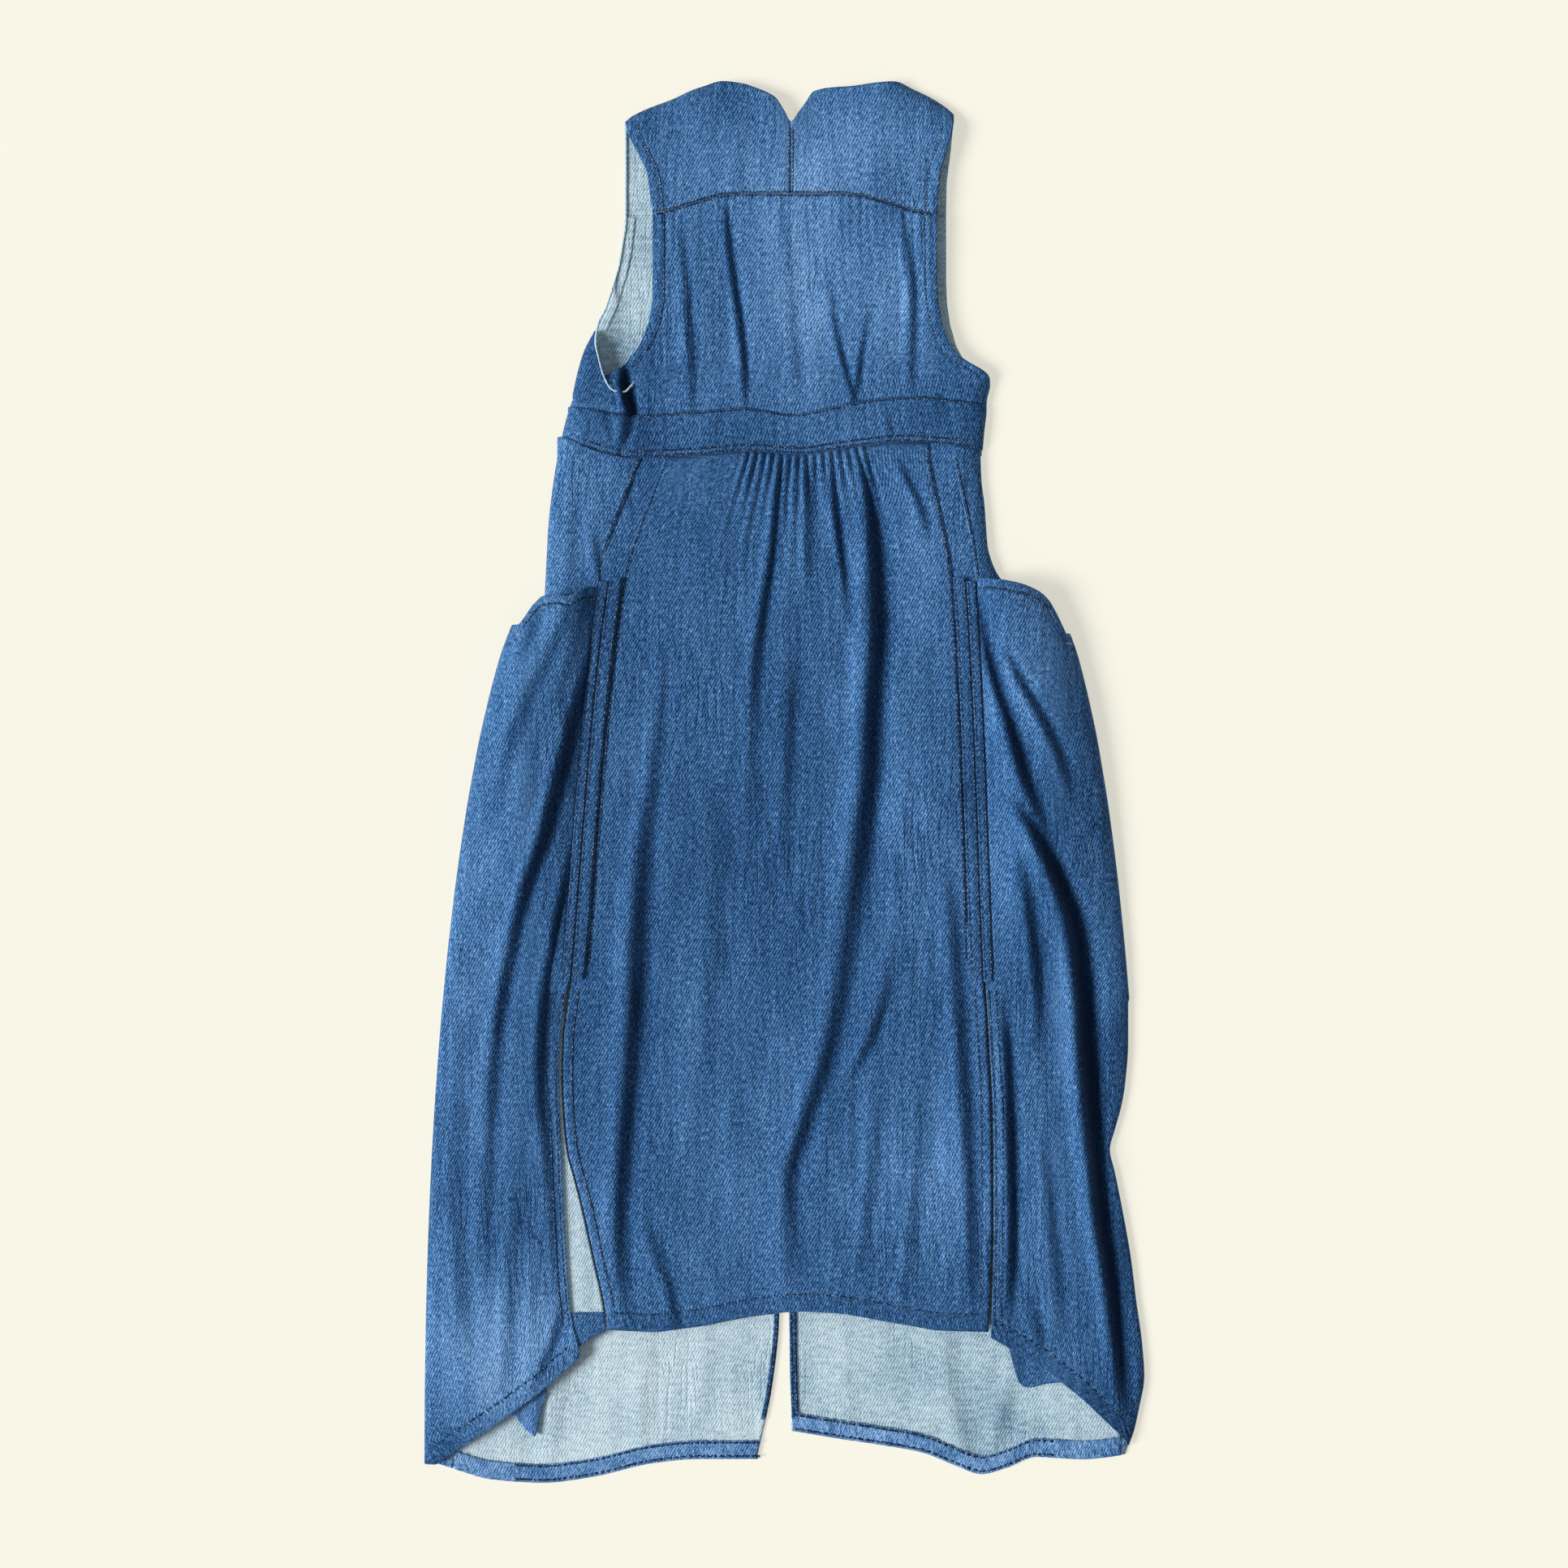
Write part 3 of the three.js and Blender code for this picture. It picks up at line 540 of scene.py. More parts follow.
def folds(x, y, paths):
    """Sum over paths of STEEP * height * 2.33 * (-q) * exp(-q^2), q = distance / half-width, where each path is a
    list of (y, x, height, half-width). Also returns the painted shade, a bell over the steep flank."""
    z, dark = np.zeros_like(x), np.zeros_like(x)
    for path in paths:
        ends = [point[0] for point in path]
        centre, tall, wide = curve(path)(y)
        inside = ((y > min(ends)) & (y < max(ends))).astype(float)
        q = (x - centre) / wide
        z += inside * STEEP * tall * 2.33 * -q * np.exp(-q * q)
        # painted shade: a darker bell over the steep flank of each fold
        dark += inside * np.abs(tall) / wide * np.exp(-(((q - 0.2) / 0.8) ** 2))
    return z, dark


def crinkle(x, y, seed, amount=1.0):
    """Fine uneven creases along the warp, and slow swells of the whole cloth."""
    fine = 0.30 * ripple(x, y, 5.5, 46, seed) + 0.50 * ripple(x + 0.03 * y, y, 10, 95, seed + 1)
    slow = 0.95 * ripple(x, y, 27, 150, seed + 2) + 0.8 * ripple(x + y * 0.2, y, 62, 90, seed + 3)
    return amount * (fine + slow)


def hem_pucker(x, y, from_edge, deep):
    """The slanting ripple that a topstitched hem draws into the cloth: a sine along the hem, sheared."""
    zone = ease(from_edge / 3) * ease((deep + 4 - from_edge) / 7)
    return 0.75 * zone * np.sin((x + 0.55 * from_edge) * 2 * np.pi / 7.4 + 1.6 * ripple(x, y, 22, 60, 5))


def rolled(distance, reach, drop):
    """How far cloth has come down near a side fold: a quarter of an ellipse over reach, drop deep at the edge."""
    t = np.clip(1 - distance / reach, 0, 1)
    return drop * (1 - np.sqrt(np.clip(1 - t * t, 0, 1)))


def between(s, inner, outer):
    """Left and right edge, as signed places, of something that lies between two distances on side s."""
    if s < 0:
        return (lambda y: -outer(y)), (lambda y: -inner(y))
    return inner, outer


def moved(f, by):
    """The same edge or height, moved by so much."""
    return lambda *where: f(*where) + by


print("a fold 4 mm tall:", folds(np.array([-6.0, 0, 6]), np.zeros(3), [[(-9, 0, 4, 8), (9, 0, 4, 8)]])[0].round(1))

# %% [markdown]
# ## Topstitching
# Every seam and hem is held by rows of topstitching in navy thread, in a pressed groove. A stitch is a short capsule
# along the row, lying just on the cloth; the groove's shade is painted as a thin near-black ribbon under the row. All
# the stitches of a region are one mesh, made by placing one small template along every row at once.
# region are one mesh, made by placing one small template along every row at once.

# %% Topstitching
def template(sides=5):
    """A capsule along its first axis: three rings and two tips, from -1 to 1 lengthwise and 1 across."""
    turn = np.arange(sides) * 2 * np.pi / sides
    ring = lambda at, r: np.column_stack([np.full(sides, at), r * np.cos(turn), r * np.sin(turn)])
    v = np.vstack([[(-1, 0, 0)], ring(-0.8, 0.75), ring(0, 1), ring(0.8, 0.75), [(1, 0, 0)]])
    k = np.arange(sides)
    nxt = (k + 1) % sides
    tris = [np.column_stack([0 * k, 1 + nxt, 1 + k])]
    for r in (0, 1):
        a, b = 1 + r * sides, 1 + (r + 1) * sides
        tris += [np.column_stack([a + k, a + nxt, b + nxt]), np.column_stack([a + k, b + nxt, b + k])]
    tris.append(np.column_stack([1 + 2 * sides + k, 1 + 2 * sides + nxt, np.full(sides, 1 + 3 * sides)]))
    return v, np.vstack(tris)


STITCH, STITCH_TRIS = template()
THREAD_WIDE, THREAD_TALL, THREAD_LIFT = 0.36, 0.3, 0.34
RIBBON_EDGE, RIBBON_TOP = 0.04, 0.30


def along_row(points, pitch):
    """Centres every pitch along a polyline and the unit direction there."""
    step = np.linalg.norm(np.diff(points, axis=0), axis=1)
    length = np.concatenate([[0], np.cumsum(step)])
    at = np.arange(pitch / 2, length[-1], pitch)
    centre = np.column_stack([np.interp(at, length, points[:, k]) for k in range(3)])
    ahead = np.column_stack([np.interp(at + pitch / 2, length, points[:, k]) for k in range(3)])
    behind = np.column_stack([np.interp(at - pitch / 2, length, points[:, k]) for k in range(3)])
    way = ahead - behind
    return centre, way / np.maximum(np.linalg.norm(way, axis=1, keepdims=True), 1e-9)


def stitching(name, rows, height, pitch=3.3, groove=2.0, cord=None):
    """Stitches, and ribbons of painted groove shade, for rows of (x, y) arrays on the surface height(x, y)."""
    points, tris, kinds, total = [], [], [], 0
    for x, y in rows:
        lift = height(x, y) + CLOTH / 2
        centre, way = along_row(np.column_stack([x, y, lift + THREAD_LIFT]), pitch)
        over = np.cross(way, (0, 0, 1.0))
        over /= np.maximum(np.linalg.norm(over, axis=1, keepdims=True), 1e-9)
        out = np.cross(over, way)
        shape = (centre[:, None] + STITCH[None, :, :1] * way[:, None] * pitch * 0.36
                 + STITCH[None, :, 1:2] * over[:, None] * THREAD_WIDE
                 + STITCH[None, :, 2:] * out[:, None] * THREAD_TALL)
        points.append(shape.reshape(-1, 3))
        tris.append((STITCH_TRIS[None] + np.arange(len(centre))[:, None, None] * len(STITCH)).reshape(-1, 3) + total)
        kinds.append(np.zeros(len(tris[-1]), int))
        total += len(points[-1])
        n = max(2, int(np.hypot(np.diff(x), np.diff(y)).sum() / 3.2))
        pick = np.linspace(0, len(x) - 1, n)
        gx, gy = np.interp(pick, np.arange(len(x)), x), np.interp(pick, np.arange(len(x)), y)
        gz = height(gx, gy) + CLOTH / 2
        way = np.gradient(np.column_stack([gx, gy, gz]), axis=0)
        over = np.cross(way, (0, 0, 1.0))
        over /= np.maximum(np.linalg.norm(over, axis=1, keepdims=True), 1e-9)
        mid = np.column_stack([gx, gy, gz])
        # the ribbon of painted groove shade
        ribbon = np.stack([mid + over * groove / 2 + (0, 0, RIBBON_EDGE), mid + (0, 0, RIBBON_TOP),
                           mid - over * groove / 2 + (0, 0, RIBBON_EDGE), mid - (0, 0, RIBBON_TOP)], 1)
        k = np.arange(n - 1)[:, None] * 4 + total
        e = np.arange(4)
        f = (e + 1) % 4
        quads = np.stack([k + e, k + f, k + f + 4, k + e + 4], -1).reshape(-1, 4)
        caps = np.array([[3, 2, 1, 0], [0, 1, 2, 3]]) + np.array([[total], [total + 4 * (n - 1)]])
        quads = np.vstack([quads, caps])
        tris += [quads[:, [0, 1, 2]], quads[:, [0, 2, 3]]]
        kinds.append(np.ones(2 * len(quads), int))
        points.append(ribbon.reshape(-1, 3))
        total += 4 * n
    points, tris, kinds = np.vstack(points), np.vstack(tris), np.concatenate(kinds)
    mesh = bpy.data.meshes.new(name)
    mesh.from_pydata((points * MM).tolist(), [], tris.tolist())
    mesh.polygons.foreach_set("material_index", kinds)
    mesh.polygons.foreach_set("use_smooth", kinds == 0)
    for material in (cord or THREAD, PAINTED_GROOVE_SHADE):
        mesh.materials.append(material)
    mesh.update()
    piece = bpy.data.objects.new(name, mesh)
    scene.collection.objects.link(piece)
    return piece


def upright(edge, low, high, s=1, inset=0.0, count=120):
    """A row that follows a side edge, inset towards the middle line."""
    y = np.linspace(high, low, count)
    return s * (edge(y) - inset), y


def level_row(rim_of, left, right, up=0.0, count=120):
    """A row that follows a hem or a seam across the garment, so far above it."""
    x = np.linspace(left, right, count)
    return x, rim_of(x) + up


print("one stitch:", len(STITCH), "points,", len(STITCH_TRIS), "triangles")

# %% [markdown]
# ## The lines of the pattern
# The two halves of the garment lie a little differently, so every line is read once for each side: the armhole, the
# band's ends, the seam between front skirt and gore, the slit, the side fold and the outer line of the pocket drape.
# Two lines are shaped here, because cloth does them and a stiff panel doesn't: the front's slit edges swing open
# below the slit, and the pocket mouth dips towards its outer end.

# %% The lines of the pattern
UNDERARM_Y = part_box("armhole_facing_left")[0].y / MM - 30
VENT_UP = {"left": 28, "right": 52}
CORNER_IN = {"left": 168.5, "right": 189}
LINES = {}
for side, s in SIDES:
    piece = {stem: f"{stem}_{side}" for stem in
             ("front_yoke", "front_gore", "slit_band", "pocket_placket", "side_panel", "pocket_drape", "pocket_wrap",
              "drape_corner", "back_yoke", "back_bodice", "back_band", "back_skirt", "back_tail")}
    corner_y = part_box(piece["pocket_drape"])[0].y / MM
    LINES[side] = {
        "armhole": side_edge(["front_bodice"], s, high=YOKE_Y - 21.5, count=34),
        "yoke_armhole": side_edge([piece["front_yoke"]], s, high=NECK_Y - 36),
        "yoke_middle": inner_edge([piece["front_yoke"]], s, low=YOKE_Y + 1, high=NECK_Y - 44),
        "band_end": side_edge(["front_band"], s),
        "princess": side_edge(["front_skirt"], s),
        "gore_inner": inner_edge([piece["front_gore"]], s),
        "gore_outer": side_edge([piece["front_gore"]], s),
        "band_inner": inner_edge([piece["slit_band"]], s),
        "band_outer": side_edge([piece["slit_band"]], s),
        "placket_inner": inner_edge([piece["pocket_placket"]], s),
        "placket_outer": side_edge([piece["pocket_placket"]], s),
        "panel_inner": inner_edge([piece["side_panel"]], s, count=30),
        "panel_outer": side_edge([piece["side_panel"]], s, count=30),
        "drape_inner": inner_edge([piece["pocket_drape"]], s, low=SLIT_Y + 1),
        "outline": side_edge([piece["pocket_drape"]], s, count=30),
        "wrap_seam": inner_edge([piece["pocket_wrap"]], s, low=corner_y + 2),
        "back_armhole": side_edge([piece["back_bodice"]], s, high=YOKE_Y - 21.5, count=30),
        "back_yoke_end": side_edge([piece["back_yoke"]], s, high=NECK_Y - 36),
        "back_band_end": side_edge([piece["back_band"]], s),
        "back_outer": side_edge([piece["back_skirt"]], s, low=BACK_HEM_Y + 30, count=30),
        "back_inner": inner_edge([piece["back_skirt"], piece["back_tail"]], s, low=BACK_HEM_Y + VENT_UP[side]),
        "corner_y": corner_y,
        "under_hem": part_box(piece["side_panel"])[0].y / MM,
        "drape_hem": rim([piece["drape_corner"], piece["pocket_drape"]], 0, reach=(s * CORNER_IN[side], s * 332)),
    }
ARMHOLE_LEFT = curve([(360, 196), (380, 191.5), (400, 185.5), (420, 175.5), (440, 166), (460, 160), (480, 154.5),
                      (500, 151), (524, 148.5)])
LINES["left"]["back_armhole"] = lambda y: ARMHOLE_LEFT(y) - 0.6
FOLD_RIGHT = curve([(-640, 312), (-620, 317), (-600, 324), (-580, 328.5), (-550, 333.5), (-520, 331.5), (-480, 326),
                    (-440, 321), (-400, 314), (-360, 306), (-340, 301.5), (-320, 306.5), (-300, 312), (-280, 315.5),
                    (-240, 318.5), (-200, 318.5)])
HIP_RIGHT = curve([(186, 203), (194, 197), (205, 192), (220, 188), (240, 186.5), (260, 185), (280, 182.5),
                   (303, 181.5)])
packed = dict(LINES["right"])
back_left = LINES["left"]["back_outer"]
LINES["left"]["back_outer"] = lambda y: back_left(y) + 44 * ease((-480 - y) / 70)
LINES["right"]["outline"] = lambda y: np.where(y > -200, packed["outline"](y), FOLD_RIGHT(y))
LINES["right"]["panel_outer"] = lambda y: np.where(y > 186, HIP_RIGHT(y), packed["panel_outer"](y))
LINES["right"]["back_outer"] = lambda y: np.where(y > 186, HIP_RIGHT(y) - 2,
                                                  packed["back_outer"](y) + 50 * ease((-480 - y) / 70))
LINES["right"]["armhole"] = lambda y: packed["armhole"](y) + 15 * np.exp(-(((y - 379) / 12) ** 2))
LINES["left"]["flap"] = curve([(-520, 162), (-484, 166), (-440, 175.5), (-399, 184.5), (-365, 193), (-343, 199),
                               (-313, 202.5), (-270, 204.5), (-235, 203.5), (-205, 200), (SLIT_Y, 197)])
LINES["left"]["slit"] = curve([(-520, 190), (-500, 196), (-476, 199), (-401, 204), (-326, 207), (-262, 209),
                               (-210, 204.5), (SLIT_Y + 1, 199)])
LINES["right"]["flap"] = curve([(-520, 188), (-498, 189), (-401, 191.5), (-313, 191), (-249, 188), (SLIT_Y, 184)])
LINES["right"]["slit"] = curve([(-525, 190), (-498, 191.5), (-401, 193.5), (-313, 193), (-249, 190), (SLIT_Y + 1, 186)])
LINES["left"]["mouth_dip"] = curve([(160, 3), (186, 7), (200, 14), (208, 12), (223, 14), (231, 21), (237, 29),
                                    (245, 40)])
LINES["right"]["mouth_dip"] = curve([(165, -3), (186, -3), (201, -1), (216, 2), (230, 7), (242, 15), (251, 29),
                                     (260, 48)])
YOKE_SEAM = rim(["front_bodice"], 1, reach=(-121, 140))
NECK_EDGE = curve([(-150, 611), (-140, 619), (-125, 626), (-104, 634), (-80, 644.5), (-58, 649.5), (-40, 647.5),
                   (-27, 643.5), (-9, 635), (0, 622), (6, 612), (13, 621), (19, 629), (27, 640),
                   (42, 643.5), (63, 645), (88, 648.5),
                   (104, 649.5), (120, 643), (138, 634), (150, 626), (158, 619)])
FRONT_HEM = rim(["front_flap"], 0, reach=(-165, 186))
BACK_HEM = {
    "left": curve([(-335, -627), (-303, -637), (-273, -645.5), (-225, -649), (-178, -643.5), (-123, -631), (-78, -627),
                   (-28, -627)]),
    "right": curve([(8, -601), (44, -607), (83, -613), (128, -621), (161, -634), (183, -641), (206, -635), (233, -625),
                    (278, -627), (300, -625), (322, -621), (335, -616)]),
}
PANEL_HEM = {
    "left": curve([(150, -520), (200, -545), (220, -566), (226, -584), (231, -605), (236, -602), (248, -589),
                   (262, -574), (300, -560)]),
    "right": curve([(150, -505), (205, -515), (213, -543), (219, -558), (226, -560), (240, -557), (262, -554),
                    (290, -545)]),
}
BAND_UPPER = curve([(-200, 349), (-170, 345), (-150, 342), (-138, 341), (-100, 343), (-60, 346), (-35, 347.5), (9, 342),
                    (40, 347), (67, 353), (100, 357), (124, 358), (150, 356), (190, 351)])
BAND_LOWER = curve([(-205, 321), (-195, 317), (-178, 309), (-160, 304), (-142, 301), (-89, 303), (-31, 307), (13, 304),
                    (49, 309), (111, 315.5), (150, 313), (190, 308)])
print("left outline at the mouth and the hem", LINES["left"]["outline"](np.array([150.0, -600.0])).round(1))

# %% [markdown]
# ## Where the cloth has faded, and painted light and shade
# Washing and light have taken more dye from some parts than from others: the yoke and the middle of the bodice are
# pale, the band and the gathered middle of the skirt stay deep. The same spots also hold painted light and shade:
# bright patches where the light falls full, and dark ones where shade falls, such as the strip along the right side
# fold. Wide soft spots carry all that over the whole garment, so that neighbouring sheets agree where they meet.

# %% Where the cloth has faded, and painted light and shade
# fading and painted light and shade: bright patches where light falls full, dark ones where shade falls
FADE_AND_LIGHT_SPOTS = [  # x, y, half-width, half-height, amount
    (-70, 590, 90, 45, 0.22), (80, 590, 80, 45, 0.34), (15, 465, 55, 110, 0.85), (108, 450, 34, 80, 0.55),
    (-95, 440, 30, 90, 0.12), (110, 335, 30, 20, -0.12), (20, 325, 120, 20, 0.08), (-60, 323, 45, 20, -0.15),
    (10, 180, 60, 110, 0.02), (120, 190, 35, 110, 0.26), (0, -60, 55, 90, -0.22), (120, -60, 40, 110, 0.05),
    (-40, -330, 65, 150, 0.28), (-125, -300, 22, 90, -0.05), (135, -380, 45, 110, 0.34), (50, -400, 30, 80, 0.15),
    (-225, 105, 45, 70, 0.25), (-270, -60, 40, 130, 0.25), (-300, -300, 30, 170, 0.30), (-250, -530, 70, 75, 0.95),
    (235, 110, 40, 60, 0.30), (300, -60, 25, 120, 0.12), (245, -390, 36, 120, 0.22), (318, -430, 16, 170, -0.35),
    (-195, 250, 30, 70, 0.22), (178, 250, 25, 60, 0.10), (130, -50, 35, 90, 0.18), (-125, 20, 30, 80, 0.12),
    (-95, 450, 25, 60, 0.10),
]


def fading_and_painted_light(x, y):
    """Sum of soft spots, each amount * exp(-(dx/half-width)^2 - (dy/half-height)^2), with slow uneven clouds."""
    total = 0.12 * ripple(x, y, 45, 80, 71) + 0.08 * ripple(x, y, 14, 40, 72)
    for cx, cy, rx, ry, amount in FADE_AND_LIGHT_SPOTS:
        total = total + amount * np.exp(-(((x - cx) / rx) ** 2) - ((y - cy) / ry) ** 2)
    return total


def wrong_side_tone(x, y):
    """Tone of the pale wrong side: painted light makes the left half, towards the light, brighter; slow clouds; one
    dull patch by the right fold.
    """
    total = 0.05 + 0.30 * ripple(x, y, 60, 50, 105) + 0.18 * ripple(x, y, 17, 24, 107)
    # painted light: brighter towards the left, where the light comes from
    total = total + 0.60 * ease((60 - x) / 120) * ease((300 - y) / 100)
    return total - 0.7 * np.exp(-(((x - 190) / 30) ** 2) - ((y + 590) / 34) ** 2)


def dip(distance, deep=0.9, wide=2.4):
    """How cloth sinks into a seam: a bell across it."""
    return -deep * np.exp(-((distance / wide) ** 2))


print("wash at the yoke and the band", fading_and_painted_light(np.array([80.0, 0]), np.array([590.0, 323])).round(2))

# %% [markdown]
# ## Front bodice
# The bodice is one panel, eased into the yoke above with fine gathers and drawn in at the band by two tucks, whose
# folds run up and fade. At the underarms its edge turns down towards the back, and on the left that turn is pushed
# into a deep pocket of a fold.

# %% Front bodice
BODICE_FOLDS = [
    [(545, -57, 0, 5), (520, -54, 1.0, 5), (470, -48, 1.5, 5), (420, -41, 1.9, 5), (375, -37, 1.6, 4),
     (340, -36, 0, 3)],
    [(530, -100, 0, 6), (480, -93, 1.0, 6), (420, -88, 1.3, 6), (370, -86, 1.1, 6), (335, -86, 0, 6)],
    [(540, 108, 0, 6), (500, 113, 1.3, 7), (450, 119, 1.5, 6), (390, 118, 1.0, 6), (345, 117, 0, 6)],
    [(480, 40, 0, 5), (430, 46, 0.8, 5), (390, 54, 1.2, 4), (362, 62, 1.3, 3), (345, 66, 0, 3)],
    [(450, 80, 0, 5), (410, 73, 0.8, 4), (375, 68, 1.3, 3), (345, 66, 0, 3)],
    [(560, -5, 0, 6), (480, 4, 0.5, 8), (380, 10, 0.5, 8), (340, 12, 0, 8)],
    [(395, -150, 0, 5), (375, -150, 3.5, 5), (358, -147, 5.0, 6), (342, -143, 4.0, 6), (325, -140, 0, 5)],
]


def bodice_height(x, y):
    """Flat, with folds, gathers below the yoke that fade over 50 mm, and the turn down at the underarms."""
    z, _ = folds(x, y, BODICE_FOLDS)
    below = YOKE_SEAM(x) - y
    gathers = 0.75 * np.sin(x * 2 * np.pi / 8.3 + 2.2 * ripple(x, y, 30, 90, 11)) * ease(below / 4)
    z = z + gathers * np.exp(-((below / 46) ** 2)) * (0.6 + 0.4 * ripple(x, y, 25, 200, 12))
    z = z + crinkle(x, y, 21, 0.8) + dip(below) + dip(y - BAND_UPPER(x))
    closed = 1 - ease((y - UNDERARM_Y) / 24)
    for side, s in SIDES:
        distance = LINES[side]["armhole"](y) - s * x
        z = z - rolled(distance, 24, FRONT_Z - EDGE_Z) * closed
        z = (z + 0.6 * np.exp(-(((distance - 5.5) / 4) ** 2)) * (1 - closed)
             + dip(distance - 11, 0.5, 1.8) * (1 - closed))
    return FRONT_Z + z


def bodice_fade_and_shade(x, y):
    # fading and painted light, less the painted shade along each fold's steep flank
    return fading_and_painted_light(x, y) - 2.2 * folds(x, y, BODICE_FOLDS)[1]


left, right = (lambda y: -LINES["left"]["armhole"](y)), LINES["right"]["armhole"]
x, y, z = grid(left, right, moved(BAND_UPPER, 0.1), moved(YOKE_SEAM, -0.1), bodice_height, step=2.7)
bodice = shell("bodice_cloth", x, y, z, fade=bodice_fade_and_shade(x, y))
put(bodice, "garment", ["front_bodice"], held="gathered",
    rests_on=["back_bodice_cloth_left", "back_bodice_cloth_right"])

# %% [markdown]
# ## Left underarm
# On the left the side of the garment has rolled to the front: a crescent of blue cloth lies outside the armhole, and
# the armhole's pale rolled edge runs down beside it, round the bottom of the hole in a U and up the front again. The
# edge is a soft cord of cloth, a tube along its path.

# %% Left underarm
def piping(name, path, radius, sides=8, fade=0.2):
    """A closed tube of cloth, wrong side out, along a smooth path through (x, y, z) points."""
    knots = np.array(path, float)
    share = np.concatenate([[0], np.cumsum(np.linalg.norm(np.diff(knots[:, :2], axis=0), axis=1))])
    along = curve(np.column_stack([share, knots]))(np.linspace(0, share[-1], int(share[-1] / 2.5)))
    p = np.moveaxis(along, 0, -1)
    way = np.gradient(p, axis=0)
    way /= np.linalg.norm(way, axis=1, keepdims=True)
    over = np.cross(way, (0, 0, 1.0))
    over /= np.linalg.norm(over, axis=1, keepdims=True)
    out = np.cross(over, way)
    turn = np.linspace(0, 2 * np.pi, sides + 1)
    wide = radius * (1 + 0.22 * ripple(np.arange(len(p)) * 2.5, 0, 9, 9, 111))
    wide *= np.sqrt(np.clip(np.minimum(np.arange(len(p)), np.arange(len(p))[::-1]) / 2.0, 0.02, 1))
    around = np.cos(turn)[None, :, None] * over[:, None] + np.sin(turn)[None, :, None] * out[:, None]
    ring = (p[:, None] + around[:, :-1] * wide[:, None, None]).reshape(-1, 3) * MM
    rows, k = np.arange(len(p) - 1)[:, None] * sides, np.arange(sides)[None]
    after = (k + 1) % sides
    quads = np.stack([rows + k, rows + sides + k, rows + sides + after, rows + after], -1).reshape(-1, 4)
    mesh = bpy.data.meshes.new(name)
    ends = [list(range(sides)), list(range(sides * len(p) - 1, sides * (len(p) - 1) - 1, -1))]
    mesh.from_pydata(ring.tolist(), [], quads.tolist() + ends)
    mesh.polygons.foreach_set("use_smooth", np.ones(len(mesh.polygons), bool))
    corner = np.empty(len(mesh.loops), np.int32)
    mesh.loops.foreach_get("vertex_index", corner)
    flat = np.stack([(corner % sides) * radius * 0.8, (corner // sides) * 2.5], -1) * MM
    mesh.uv_layers.new(name="cloth").data.foreach_set("uv", flat.astype(np.float32).ravel())
    for key, value in (("wrong", 1.0), ("fade", fade)):
        mesh.attributes.new(key, "FLOAT", "POINT").data.foreach_set("value", np.full(len(ring), value, np.float32))
    mesh.materials.append(DENIM)
    piece = bpy.data.objects.new(name, mesh)
    scene.collection.objects.link(piece)
    return piece


UNDERARM_FOOT = curve([(140, 345), (150, 347), (160, 350), (175, 354), (191, 357), (200, 356)])
UNDERARM_RIM = curve([(340, 148), (355, 154), (362, 159), (370, 164), (384, 169), (400, 172.5), (411, 174.5),
                      (421, 175)])


def underarm_height(x, y):
    """Rolled down at the outer line and up to a soft ridge beside the rim."""
    outer = ARMHOLE_LEFT(y) + x
    return FRONT_Z + 1.6 - rolled(outer, 16, 8) + 0.5 * crinkle(x, y, 25) - 2.0 * ease((y - 395) / 24)


x, y, z = grid(lambda y: -ARMHOLE_LEFT(y), lambda y: -UNDERARM_RIM(y), lambda x: UNDERARM_FOOT(np.abs(x)), level(419),
               underarm_height, step=2)
crescent = shell("underarm_cloth_left", x, y, z, fade=fading_and_painted_light(x, y) - 0.1)
put(crescent, "garment", held="laid", rests_on=["bodice_cloth"])
down = np.array([606.0, 580, 550, 524, 500, 480, 460, 440, 424])
edge = np.where(down > 520, LINES["left"]["back_yoke_end"](down), ARMHOLE_LEFT(down)) - 1.2
low = [(-e, y, BACK_Z + 1.5 + 9 * float(ease((470 - y) / 40))) for e, y in zip(edge, down)]
cup = [(-174.5, 408, FRONT_Z + 2), (-171.5, 392, FRONT_Z + 3), (-166.5, 375, FRONT_Z + 3.8), (-158, 363, FRONT_Z + 4.2),
       (-148.5, 361.5, FRONT_Z + 3.8), (-142, 367, FRONT_Z + 1.6), (-137, 374, FRONT_Z - 1.5)]
put(piping("armhole_edge_left", low + cup, 0.95), "garment")

# %% [markdown]
# ## Yoke, linings and armhole facings
# Two halves meet at the notch of the neck. Each turns down to the back along its shoulder. Behind each lies its
# lining, wrong side showing, and a narrow facing finishes the armhole.

# %% Yoke, linings and armhole facings
NECK_REACH = {"left": 60, "right": 100}


def yoke_height(x, y):
    """Flat, with the turn down along the shoulder, which is a quarter of an ellipse under the upper edge."""
    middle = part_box("front_yoke_left")[1].x / MM
    reach = np.where(x < middle, NECK_REACH["left"], NECK_REACH["right"])
    z = -rolled(NECK_EDGE(x) - y, 22, FRONT_Z - EDGE_Z) * ease((np.abs(x) - reach + 4) / 18)
    z = z + crinkle(x, y, 31, 0.55) + dip(y - YOKE_SEAM(x)) + dip(x - middle, 0.9, 1.8)
    z = z - 0.9 * ease((NECK_Y - 36 - y) / -10) * ease((20 - np.abs(x - middle)) / 12)
    for side, s in SIDES:
        distance = LINES[side]["yoke_armhole"](y) - s * x
        z = z + 0.6 * np.exp(-(((distance - 5.5) / 4) ** 2)) + dip(distance - 11, 0.5, 1.8)
    return FRONT_Z + z


